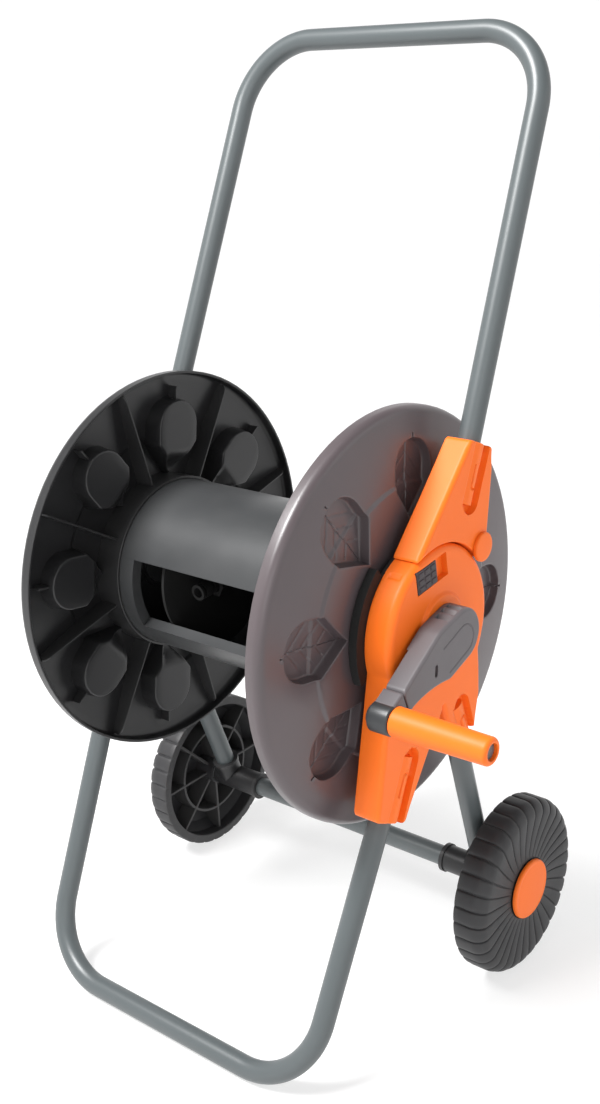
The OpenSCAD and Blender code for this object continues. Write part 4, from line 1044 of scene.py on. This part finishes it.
@dataclass
class SideMoulding:
    """The orange mouldings of one side: the casing round the drum's bearing and the bracket of the handle."""

    hand: Hand
    hub: float = 75.5
    back: float = 163.5
    face: float = 190.0
    pivot: tuple[float, float] = (65.99, 55.77)
    latch: tuple[float, float] = (-11.56, 55.41)
    latch_tilt: float = 7.0
    latch_half: tuple[float, float] = (22.0, 9.9)
    latch_depth: float = 5.5
    foot_end: float = 169.0
    leg_end: float = 130.0
    handle_end: float = 161.0
    boss_r: float = 30.6
    boss_rise: float = 3.0

    def casing(self) -> None:
        """Makes the casing: hub, front arm, rear arm, boss, latch recess and grooves."""
        foot, leg = self.foot_end, self.leg_end
        front = np.array([[-69.0, -22, 4.5], [*turned(foot, -21, FOOT_TURN), 5],
                          [*turned(foot, 15.5, FOOT_TURN), 5], [-2, -78, 5]])
        rear = np.array([[57.0, -44, 6], [55, -84, 8], [*turned(leg, 9, LEG_TURN), 5],
                         [*turned(leg, -15, LEG_TURN), 5], [8, -74, 5]])
        zero = np.zeros(2)
        r = np.maximum(ray_out(belt(front), zero), ray_out(belt(rear), zero))
        edge = np.where(r > self.hub, 4.4, 7.0)
        rim = star(zero, np.maximum(r, self.hub))
        for turn, end in ((FOOT_TURN, foot), (LEG_TURN, leg)):
            along, across = turned(rim[:, 0], rim[:, 1], -turn)
            edge = np.where((along > end + 4) & (np.abs(across) < 30), 1.6, edge)
        m = Moulding(rim, (0.0, 0.0), edge, self.face, self.back, core=22.0)
        m.soften(1.1)
        sockets = (Socket(FOOT_TURN, 106, 1), Socket(LEG_TURN, 82, 1))

        def shape(p: np.ndarray, x: np.ndarray) -> np.ndarray:
            """Cuts both sockets and the right side's latch recess, and raises the boss.

            Args:
                p: Points of the side view.
                x: Height so far.

            Returns:
                The new height.
            """
            for socket in sockets:
                x = socket.shape(p, x)
            boss = 1 - smooth(np.hypot(p[..., 0], p[..., 1]), self.boss_r, self.boss_r + 4)
            sunk = self.latch_depth * smooth(self.recess(p), 0, 0.5) if self.hand is Hand.RIGHT else 0
            return x + self.boss_rise * boss - sunk

        def dent(q: np.ndarray, wall: np.ndarray) -> np.ndarray:
            """Presses a short upright notch into the hub's wall.

            Args:
                q: Wall points of the side view.
                wall: Their height.

            Returns:
                How far they are pressed in.
            """
            turn = np.degrees(np.arctan2(q[..., 1], q[..., 0]))
            across = smooth(np.minimum(turn - 124.2, 128.6 - turn), 0, 0.5)
            return 0.9 * across * smooth(np.minimum(wall - 168.5, 181.5 - wall), 0, 0.8)

        cuts = sockets[0].cuts() + sockets[1].cuts()
        if self.hand is Hand.RIGHT:
            cuts += ((self.recess, 0.5),)
        skin = Skin()
        m.grids(skin, shape, cuts, dent)
        word = self.hand.word
        skin.piece(f"casing_skin_{word}", ORANGE, "frame", (f"casing_{word}",), "orange_plastic", self.hand,
                   50)

    def recess(self, p: np.ndarray) -> np.ndarray:
        """Field of the recess that the latch plate slides in: a turned rectangle with round corners.

        Args:
            p: Points of the side view.

        Returns:
            Distances inside its line, negative outside.
        """
        u, v = turned(p[..., 0] - self.latch[0], p[..., 1] - self.latch[1], -self.latch_tilt)
        u, v = np.abs(u) - self.latch_half[0], np.abs(v) - self.latch_half[1]
        return 1 - np.hypot(np.clip(u, 0, None), np.clip(v, 0, None)) - np.minimum(np.maximum(u, v), 0)

    def bracket(self) -> None:
        """Makes the handle's bracket over the hub's seam."""
        end = self.handle_end
        pegs = np.array([[*turned(end, 14, HANDLE_TURN), 4], [*turned(end, -17.5, HANDLE_TURN), 4],
                         [82.3, 122, 4], [*self.pivot, 10.0], [-26.5, 70.5, 4]])
        centre = np.array([40.0, 108.0])
        out = ray_out(belt(pegs), centre)
        seam = ray_to_circle((0, 0, self.hub + 1.2), centre)
        rim = star(centre, np.minimum(out, seam))
        edge = np.where(seam < out, 2.0, 4.4)
        edge = np.where(turned(rim[:, 0], rim[:, 1], -HANDLE_TURN)[0] > end + 3, 1.6, edge)
        m = Moulding(rim, tuple(centre), edge, self.face, self.back, core=4.0, columns=640, rows=96)
        m.soften(0.7)
        socket = Socket(HANDLE_TURN, 102, -1)
        skin = Skin()
        m.grids(skin, socket.shape, socket.cuts())
        word = self.hand.word
        skin.piece(f"bracket_skin_{word}", ORANGE, "handle", (f"bracket_{word}",), "orange_plastic",
                   self.hand, 50)

    def pivot_pin(self) -> None:
        """Makes the flat-headed pin of the handle's hinge."""
        r, top = 13.5, self.face + 3.8
        t = np.linspace(0, 1, 8)
        head = np.stack([(r - 1.6) * t, top - 0.25 * t**2], -1)
        rim = arc(r - 1.5, top - 1.8, 1.5, 88, 0, 7)
        rest = np.array([[r, self.face + 0.3], [4.5, self.face + 0.3], [4.5, 164.5], [0, 164.5]])
        word = self.hand.word
        Skin().spin(np.concatenate([head, rim, rest]), self.pivot, 56).piece(
            f"hinge_pin_{word}", ORANGE, "frame", (f"pivot_pin_{word}",), "orange_plastic", self.hand, 45)

    def slider(self) -> None:
        """Makes the latch's ribbed plate: a small block with three rows of three raised pads."""
        long, wide = 29.0, 21.0
        pegs = np.array([[i * (long / 2 - 1), j * (wide / 2 - 1), 1.0] for i in (-1, 1) for j in (-1, 1)])
        middle = turned(7.5, 0, self.latch_tilt)
        y, z = self.latch[0] - middle[0], self.latch[1] - middle[1]
        rim = belt(pegs)
        m = Moulding(rim, (0.0, 0.0), np.full(len(rim), 0.8), self.face + 0.3, 184.8, columns=240, rows=60)
        m.soften(0.2)

        def pads(p: np.ndarray) -> np.ndarray:
            """Field of the pads: three rows of three rectangles.

            Args:
                p: Points of the plate's own side view.

            Returns:
                Distances inside the pads' lines, negative outside.
            """
            u = np.abs((p[..., 0] + 13.5) % 9.0 - 4.5)
            v = np.abs((p[..., 1] + 9.6) % 6.4 - 3.2)
            outside = np.maximum(np.abs(p[..., 0]) - 13, np.abs(p[..., 1]) - 9.2)
            return np.minimum(np.minimum(3.5 - u, 2.3 - v), -outside)

        skin = Skin()
        m.grids(skin, lambda p, x: x + 0.8 * smooth(pads(p), 0, 0.6))
        skin.points = [about_x(q, self.latch_tilt) + [0, y, z] for q in skin.points]
        skin.piece("latch_plate", DARK_PLUM, "latch", ("latch_slider",), "plum_plastic", self.hand, 40)

    def build(self) -> None:
        """Makes all the pieces of this side."""
        self.casing()
        self.bracket()
        self.pivot_pin()
        if self.hand is Hand.RIGHT:
            self.slider()


@dataclass
class Crank:
    """The crank: arm with its engraved line and slots, knuckle, grip and plug."""

    turn: float = 199.7
    length: float = 110.2
    back: float = 193.3
    face: float = 215.0
    hub: float = 24.4
    slot_turn: float = 91.0
    slot_step: float = 18.5
    slot_count: int = 3

    @property
    def grip_at(self) -> tuple[float, float]:
        """The grip's axis in the side view."""
        return turned(self.length, 0, self.turn)

    def arm(self) -> None:
        """Makes the arm."""
        tip = self.length - 19
        pegs = np.array([[0, 0, self.hub], [27, -1.8, self.hub + 1.2], [tip - 9, -3.5, 9], [tip - 5, -10, 5],
                         [tip - 5, 4, 5]])
        centre = np.array([30.0, 0.0])
        hollow = (93.0, 135.0, 127.0)
        rim = star(centre, np.minimum(ray_out(belt(pegs), centre), ray_to_circle(hollow, centre)))
        edge = np.where(rim[:, 0] > tip - 1.5, 0.9, 3.2)
        m = Moulding(rim, tuple(centre), edge, self.face, self.back, turn=self.turn, core=2.0, columns=600,
                     rows=96)
        m.soften(0.6)

        def loop(p: np.ndarray) -> np.ndarray:
            """Distance from the engraved line, a U round the hub that is open towards the grip."""
            s, n = p[..., 0], p[..., 1] - 2.6
            return np.where(s > 31, 9.0, np.where(s < 1, np.hypot(s - 1, n), np.abs(n)) - 13.3)

        def hole(p: np.ndarray) -> np.ndarray:
            """Field of the small slanted slot beyond the engraved line, positive inside."""
            u, v = turned(p[..., 0] - 46.8, p[..., 1] - 0.4, -63)
            return 2.0 - np.hypot(np.clip(np.abs(u) - 3.6, 0, None), v)

        def shape(p: np.ndarray, x: np.ndarray) -> np.ndarray:
            """Engraves the line and sinks the slot."""
            return x - 0.8 * np.clip(1 - np.abs(loop(p)) / 0.9, 0, 1) - 12 * smooth(hole(p), 0, 0.3)

        def dent(q: np.ndarray, wall: np.ndarray) -> np.ndarray:
            """Presses the slots into the wall of the hub end.

            Args:
                q: Wall points of the arm's own side view.
                wall: Their height.

            Returns:
                How far they are pressed in.
            """
            turn = np.degrees(np.arctan2(q[..., 1], q[..., 0])) + self.turn
            half = self.slot_step / 2
            middles = self.slot_turn + self.slot_step * np.arange(self.slot_count)
            across = 7.6 - np.min([np.abs((turn - m + half) % 360 - half) for m in middles], axis=0)
            return 8.0 * smooth(across, 0, 1.0) * smooth(np.minimum(wall - 197.2, 211.6 - wall), 0, 1.0)

        skin = Skin()
        m.grids(skin, shape, ((loop, 0.0), (hole, 0.3)), dent, lambda p: 2.0 * (p[..., 0] > 52.4))
        skin.piece("crank_arm_skin", PLUM, "drum", ("crank_arm",), "plum_plastic", sharp=40)

    def slots(self) -> None:
        """Makes near-black blocks deep in the slots of the arm's hub end: painted shade for the slots' dark
        inside.
        """
        skin = Skin()
        for k in range(self.slot_count):
            skin.block((197.6, self.hub - 9.4, -2.6), (211.2, self.hub - 5.6, 2.6),
                       self.slot_turn + self.slot_step * k)
        skin.piece("crank_slot_painted_shade", SHADE, "drum", (), "black_plastic", sharp=30)

    def knuckle(self) -> None:
        """Makes the neck and the dark barrel at the arm's end."""
        tip = self.length - 19 + 0.4
        pegs = np.array([[tip + 2, -13, 2], [tip + 2, 7, 2], [self.length, -1, 11.5]])
        rim = belt(pegs)
        m = Moulding(rim, (tip + 8, -2.0), np.full(len(rim), 2.6), self.face - 0.2, self.back + 2.0,
                     turn=self.turn, columns=200, rows=24)
        m.soften(0.3)
        skin = Skin()
        m.grids(skin, lambda p, x: x)
        skin.piece("crank_neck", PLUM, "drum", (), "plum_plastic", sharp=40)
        r, top, foot = 13.5, self.face - 0.2, self.back + 1
        barrel = np.concatenate([
            [[0, top]], arc(r - 2.2, top - 2.2, 2.2, 90, 0, 8), arc(r - 1.6, foot + 1.6, 1.6, 0, -90, 6),
            [[9.5, foot], [9.5, foot - 2.6], [9.1, foot - 3], [0, foot - 3]]])
        Skin().spin(barrel, self.grip_at, 72).piece(
            "crank_barrel", BARREL, "drum", ("crank_knuckle",), "black_plastic", sharp=45)

    def grip(self) -> None:
        """Makes the turning grip with its hollow end, and the plug in it."""
        start, end = self.face + 0.3, self.face + 92.3
        t = np.linspace(0, 1, 30)
        outside = np.stack([13.0 - 1.0 * smooth(t, 0.0, 1.1), start + 1.4 + (end - start - 5.2) * t], -1)
        line = np.concatenate([
            [[4.1, start]], arc(11.7, start + 1.3, 1.3, -90, -5, 6), outside,
            arc(12.0 - 3.6, end - 3.6, 3.6, 5, 78, 9), [[8.0, end - 0.05], [7.5, end - 0.4], [7.4, end - 1.2],
                                                        [7.4, end - 15], [4.1, end - 15], [4.1, start]]])
        plug = np.array([[0, -3.0], [5.2, -3.0], [6.9, -3.3], [7.38, -3.8], [7.38, -7], [0, -7]]) + [0, end]
        Skin().spin(plug, self.grip_at, 48).piece(
            "grip_end_plug", PLUM, "grip", ("grip_plug",), "plum_plastic", sharp=40)
        Skin().spin(line, self.grip_at, 80).piece(
            "grip_skin", ORANGE, "grip", ("grip",), "orange_plastic", sharp=45)

    def build(self) -> None:
        """Makes all the pieces of the crank."""
        self.arm()
        self.slots()
        self.knuckle()
        self.grip()


# ---------------------------------------------------------------- wheels


@dataclass
class Wheel:
    """A one-piece wheel with shingled tread ribs that run over the shoulder to the cap."""

    hand: Hand
    axle: tuple[float, float]
    radius: float = 88.6
    inner: float = 191.0
    width: float = 33.0
    ribs: int = 32
    cap_r: float = 30.0
    cap_dome: float = 3.5
    webs: int = 8
    profile: np.ndarray = field(init=False)

    def __post_init__(self) -> None:
        """Lays out the outer profile (radius, x) from the inner edge over the shoulder to the cap."""
        w, r = self.width, self.radius
        tread = np.array([[r - 2.2, 0], [r - 0.7, 0.5], [r, 2.2], [r, 7], [r, 12], [r, w - 17.5]])
        shoulder = arc(r - 14, w - 15.6, 14, 6, 84, 12)
        side = np.array([[68, w - 1.9], [58, w - 2.6], [48, w - 3.1], [38, w - 3.3],
                         [self.cap_r + 1.2, w - 3.3]])
        self.profile = np.concatenate([tread, shoulder, side])

    def tread(self, skin: Skin) -> None:
        """Adds the ribbed outside: each rib rises slowly and drops by a sharp step into the next one's foot.

        The step's line leans back over the shoulder and sweeps round the side like a turbine's blade.

        Args:
            skin: Where the grid goes.
        """
        p = self.profile
        share = lengths(p) / lengths(p)[-1]
        lean = np.radians(10.5) * np.clip(share - 0.26, 0, 1) ** 1.3
        within = np.array([0, 0.05, 0.10, 0.15, 0.30, 0.5, 0.7, 0.86, 0.94])
        height = np.array([-1.7, -1.7, -0.5, -0.1, 0.15, 0.3, 0.2, 0.0, -0.5])
        rise = np.clip(np.minimum(share / 0.05, (1 - share) / 0.12), 0, 1)
        a = (np.arange(self.ribs)[:, None] + within).ravel() * TURN / self.ribs
        h = np.tile(height, self.ribs)
        a, h = np.append(a, TURN), np.append(h, height[0])
        tangent = np.gradient(p, axis=0)
        tangent /= np.linalg.norm(tangent, axis=1)[:, None]
        out_r, out_x = tangent[:, 1], -tangent[:, 0]
        push = h[None, :] * rise[:, None] * (0.62 + 0.38 * (p[:, :1] / self.radius))
        r = p[:, :1] + out_r[:, None] * push - 0.3 * rise[:, None]
        x = self.inner + p[:, 1:] + out_x[:, None] * push
        g = round_x(r, x, a[None, :] + lean[:, None])
        g[:, -1] = g[:, 0]
        skin.grid(g, self.axle)
        first, last = p[0], p[-1]
        inside = np.array([
            [first[0], 0.0], [79.5, 0.0], [78.6, 0.8], [78.6, 15], [70, 25.5], [60, 28.0], [29, 28.0],
            [28, 27.4], [15, 27.4], [15, 19], [14.2, 18.4], [5.05, 18.4], [5.05, -1.5], [15, -1.5], [15, 24],
            [28, 24.5], [last[0] - 1, 29.0], last])
        lag = np.linspace(0, 1, len(inside))[:, None] * lean[-1]
        g = round_x(inside[:, :1], self.inner + inside[:, 1:], a[None, :] + lag)
        g[:, -1] = g[:, 0]
        skin.grid(g, self.axle)

    def build(self) -> None:
        """Makes the wheel, its inner webs and its hub cap."""
        skin = Skin()
        self.tread(skin)
        for k in range(self.webs):
            skin.block((self.inner + 6, 14, -1.5), (self.inner + 27.6, 80, 1.5), k * 360 / self.webs,
                       self.axle)
        ring = np.array([[49, 7], [49.4, 6.6], [51.6, 6.6], [52, 7], [52, 28.4], [49, 28.4], [49, 7]])
        skin.spin(ring + [0, self.inner], self.axle)
        body = f"wheel_{self.hand.word}"
        skin.piece(f"wheel_skin_{self.hand.word}", WHEEL, body, (body,), "wheel_plastic", self.hand, 30)
        self.cap(body)

    def cap(self, body: str) -> None:
        """Makes the hub cap: a shallow dome inside a rounded rim.

        Args:
            body: The wheel's body.
        """
        out, r = self.inner + self.width, self.cap_r
        t = np.linspace(0, 1, 14)
        dome = np.stack([(r - 3.4) * t, out + self.cap_dome - 1.1 - 0.9 * t**2], -1)
        rim = arc(r - 2.6, out + self.cap_dome - 4.4, 2.6, 100, 0, 8)
        back = np.array([[r, out - 2], [13, out - 2], [13, out - 1], [0, out - 1]])
        Skin().spin(np.concatenate([dome, rim, back]), self.axle, 72).piece(
            f"hub_cap_{self.hand.word}", ORANGE, body, (f"cap_{self.hand.word}",), "orange_plastic",
            self.hand)


# ---------------------------------------------------------------- tubes


@dataclass
class TubeFrame:
    """The bent handle, the bent foot and the two straight legs: tubes that end inside the side mouldings."""

    radius: float = 10.2
    wall: float = 1.5
    middle: float = 176.75
    bend: float = 72.0
    leg_start: float = 91.0
    leg_exit: float = 135.0
    leg_foot: float = 171.0

    def sweep(self, skin: Skin, path: np.ndarray, turn: float) -> None:
        """Carries a tube's section along a path that lies in a plane through the X axis.

        At each point of the path, the section is a circle spanned by the path's normal in that plane and the
        plane's own normal. Both ends are open, with the inner wall closed a little way in.

        Args:
            skin: Where the tube goes.
            path: Points (distance from the drum's axis, x) in order.
            turn: Direction of the plane, in degrees.
        """
        ahead = np.gradient(path, axis=0)
        ahead /= np.linalg.norm(ahead, axis=1)[:, None]
        bore = self.radius - self.wall
        at = np.concatenate([[2, 2, 0], np.arange(len(path)), [-1, -3, -3]])
        r = np.concatenate([[0, bore, bore], np.full(len(path), self.radius), [bore, bore, 0]])
        p, t = path[at], ahead[at]
        a = np.linspace(0, TURN, 49)
        a[-1] = 0
        side = r[:, None] * np.cos(a)
        s = p[:, :1] - t[:, 1:] * side
        x = p[:, 1:] + t[:, :1] * side
        w = r[:, None] * np.sin(a)
        skin.grid(np.stack([x, *turned(s, w, turn)], -1))

    def bent(self, name: str, body: str, turn: float, start: float, cross: float, arm: float, half: float,
             middle: float) -> None:
        """Makes a U-shaped tube: two legs with a slight spread, two round bends and a straight bar.

        Args:
            name: The node that it stands for.
            body: The body that it rides on.
            turn: Direction of its legs, in degrees.
            start: Where its legs start.
            cross: Where its bar lies.
            arm: Where its legs leave the mouldings.
            half: Half width at the bar.
            middle: Half width where the legs leave the mouldings.
        """
        bend = self.bend
        toe = math.atan((middle - half) / (cross - arm))
        cut = bend * math.tan((math.pi / 2 - toe) / 2)
        corner = arc(cross - bend, half - cut, bend, 90 - math.degrees(toe), 0, 28)
        near = np.linspace(0, 1, 12)[:-1, None]
        first = np.array([[start, half + (cross - start) * math.tan(toe)]])
        leg = first + (corner[0] - first) * near
        step = leg[1] - first
        side = np.concatenate([first, first + step * 0.03, first + step * 0.2, leg[1:], corner])
        bar = np.stack([np.full(9, cross), np.linspace(half - cut, cut - half, 11)[1:-1]], -1)
        skin = Skin()
        self.sweep(skin, np.concatenate([side, bar, (side * [1, -1])[::-1]]), turn)
        skin.piece(f"{name}_skin", TUBE_PAINT, body, (name,), "tube_paint", sharp=50)

    def leg(self, hand: Hand, axle: float) -> None:
        """Makes a straight leg from the casing to its corner.

        Args:
            hand: The leg's side.
            axle: Distance of the wheels' axle from the drum's axis.
        """
        start, end = self.leg_start, axle - 13.2
        s = np.concatenate([[start, start + 0.3, start + 2], np.linspace(start + 9, end - 1.8, 14),
                            [end - 0.3, end]])
        x = self.middle + (s - self.leg_exit) * (self.leg_foot - self.middle) / (axle - self.leg_exit)
        skin = Skin()
        self.sweep(skin, np.stack([s, x], -1), LEG_TURN)
        name = f"leg_{hand.word}"
        skin.piece(f"{name}_skin", TUBE_PAINT, "frame", (name,), "tube_paint", hand, 50)

    def build(self, axle: tuple[float, float]) -> None:
        """Makes all four tubes.

        Args:
            axle: Place of the wheels' axle in the side view.
        """
        ground = DRUM_AXIS[2] / MM
        foot = (ground - self.radius) / math.cos(math.radians(270 - FOOT_TURN))
        self.bent("handle_tube", "handle", HANDLE_TURN, start=111.5, cross=530.6, arm=165, half=170,
                  middle=self.middle)
        self.bent("foot_tube", "frame", FOOT_TURN, start=115.5, cross=foot, arm=174, half=164.9,
                  middle=self.middle - 1.5)
        for hand in Hand:
            self.leg(hand, math.hypot(*axle))


# ---------------------------------------------------------------- carried-over parts and studio


class CarriedParts:
    """The nodes whose own solids are shown, and their finishes."""

    FINISHES: dict[Finish, tuple[str, ...]] = {
        TUBE_PAINT: ("axle_tube",),
        STEEL: ("axle_rod", "washer_right", "washer_left", "push_nut_right", "push_nut_left", "grip_pin"),
        BLACK: ("corner_right", "corner_left", "inlet_elbow", "inlet_collar"),
        # Painted shade: the bulkhead, hose outlet and water pipe inside the drum are made near-black; the
        # shells share the finish.
        SHADE: ("shell_right", "shell_left", "drum_bulkhead", "hose_outlet", "water_pipe"),
        BARREL: ("drum_barrel", "spindle_right", "spindle_left"),
        NYLON: ("bush_right", "bush_left"),
        RUBBER: ("inlet_ring_inner", "inlet_ring_outer"),
    }

    def dress(self) -> None:
        """Gives every shown node its finish."""
        for finish, nodes in self.FINISHES.items():
            for node in nodes:
                slots = frame["nodes"][node].material_slots
                for s in slots:
                    s.material = finish.build()
                LOG.info("%s: %s", node, finish.name)


@dataclass
class Studio:
    """Pale floor, soft lights and the camera."""

    eye: tuple[float, float, float] = (806.425, -906.838, 486.180)
    right: tuple[float, float, float] = (0.77267, 0.63278, -0.05069)
    up: tuple[float, float, float] = (-0.18546, 0.30139, 0.93529)
    ahead: tuple[float, float, float] = (-0.60711, 0.71327, -0.35023)
    focal: float = 1372.25
    frame_height: float = 1104.0

    def camera(self) -> None:
        """Stands the camera: its columns are the view's right, up and backward directions."""
        data = bpy.data.cameras.new("camera")
        data.sensor_width = 36.0
        data.lens = self.focal / self.frame_height * data.sensor_width
        cam = bpy.data.objects.new("camera", data)
        bpy.context.scene.collection.objects.link(cam)
        m = Matrix.Identity(4)
        for row in range(3):
            m[row][0], m[row][1], m[row][2] = self.right[row], self.up[row], -self.ahead[row]
            m[row][3] = self.eye[row] * MM + DRUM_AXIS[row]
        cam.matrix_world = m
        bpy.context.scene.camera = cam

    def area(self, name: str, place: tuple[float, float, float], size: tuple[float, float],
             power: float) -> None:
        """Hangs one soft light that faces the drum.

        Args:
            name: The light's name.
            place: Where it hangs, in metres.
            size: Its width and height, in metres.
            power: Its power in watts.
        """
        data = bpy.data.lights.new(name, "AREA")
        data.shape, data.size, data.size_y, data.energy = "RECTANGLE", *size, power
        light = bpy.data.objects.new(name, data)
        light.location = place
        light.rotation_mode = "QUATERNION"
        light.rotation_quaternion = (Vector((0, 0, 0.4)) - Vector(place)).to_track_quat("-Z", "Y")
        bpy.context.scene.collection.objects.link(light)

    def build(self) -> None:
        """Makes the floor, the backdrop of light and the lights."""
        sweep = np.concatenate([[[0, 0], [1.5, 0], [3.4, 0]], arc(3.4, 1.6, 1.6, -90, 0, 12), [[5.0, 3.6]]])
        a = np.linspace(0, TURN, 73)
        p = np.stack([sweep[:, None, 0] * np.cos(a), sweep[:, None, 0] * np.sin(a),
                      np.repeat(sweep[:, 1:], len(a), 1)], -1)
        faces = quads(*p.shape[:2])
        mesh = bpy.data.meshes.new("floor")
        mesh.from_pydata(p.reshape(-1, 3).tolist(), [], faces.tolist())
        mesh.polygons.foreach_set("use_smooth", np.ones(len(faces), dtype=bool))
        floor = bpy.data.objects.new("floor", mesh)
        bpy.context.scene.collection.objects.link(floor)
        mesh.materials.append(FLOOR.build())
        world = bpy.data.worlds.new("studio")
        world.use_nodes = True
        world.node_tree.nodes["Background"].inputs[0].default_value = (1, 1, 1, 1)
        world.node_tree.nodes["Background"].inputs[1].default_value = 0.2
        bpy.context.scene.world = world
        self.area("top", (-0.3, -0.5, 3.2), (2.2, 2.2), 12)
        self.area("key", (-0.7, -1.4, 2.8), (1.0, 1.0), 150)
        self.area("fill", (2.0, -2.2, 1.6), (1.4, 1.4), 10)
        self.area("rim", (2.4, 1.6, 1.4), (0.8, 1.6), 3)
        view = bpy.context.scene.view_settings
        view.view_transform, view.look = "Standard", "None"
        self.camera()


def main() -> None:
    """Builds the cart's dress in order."""
    logging.basicConfig(level=logging.INFO, format="%(message)s")
    joints = {j["name"]: np.array(j.get("pos_m", (0, 0, 0))) for j in frame["record"]["behaviour"]["joints"]}
    axle = (joints["wheel_right_spin"] - DRUM_AXIS)[1:] / MM
    Studio().build()
    CarriedParts().dress()
    # The near disc's finish carries a painted reddish reflection.
    Disc(Hand.RIGHT, DISC_RED_REFLECTION).build()
    Disc(Hand.LEFT, DISC_BLACK).build()
    for hand in Hand:
        SideMoulding(hand).build()
    Crank().build()
    TubeFrame().build((float(axle[0]), float(axle[1])))
    for hand in Hand:
        Wheel(hand, (float(axle[0]), float(axle[1]))).build()


if __name__ == "__main__":
    main()
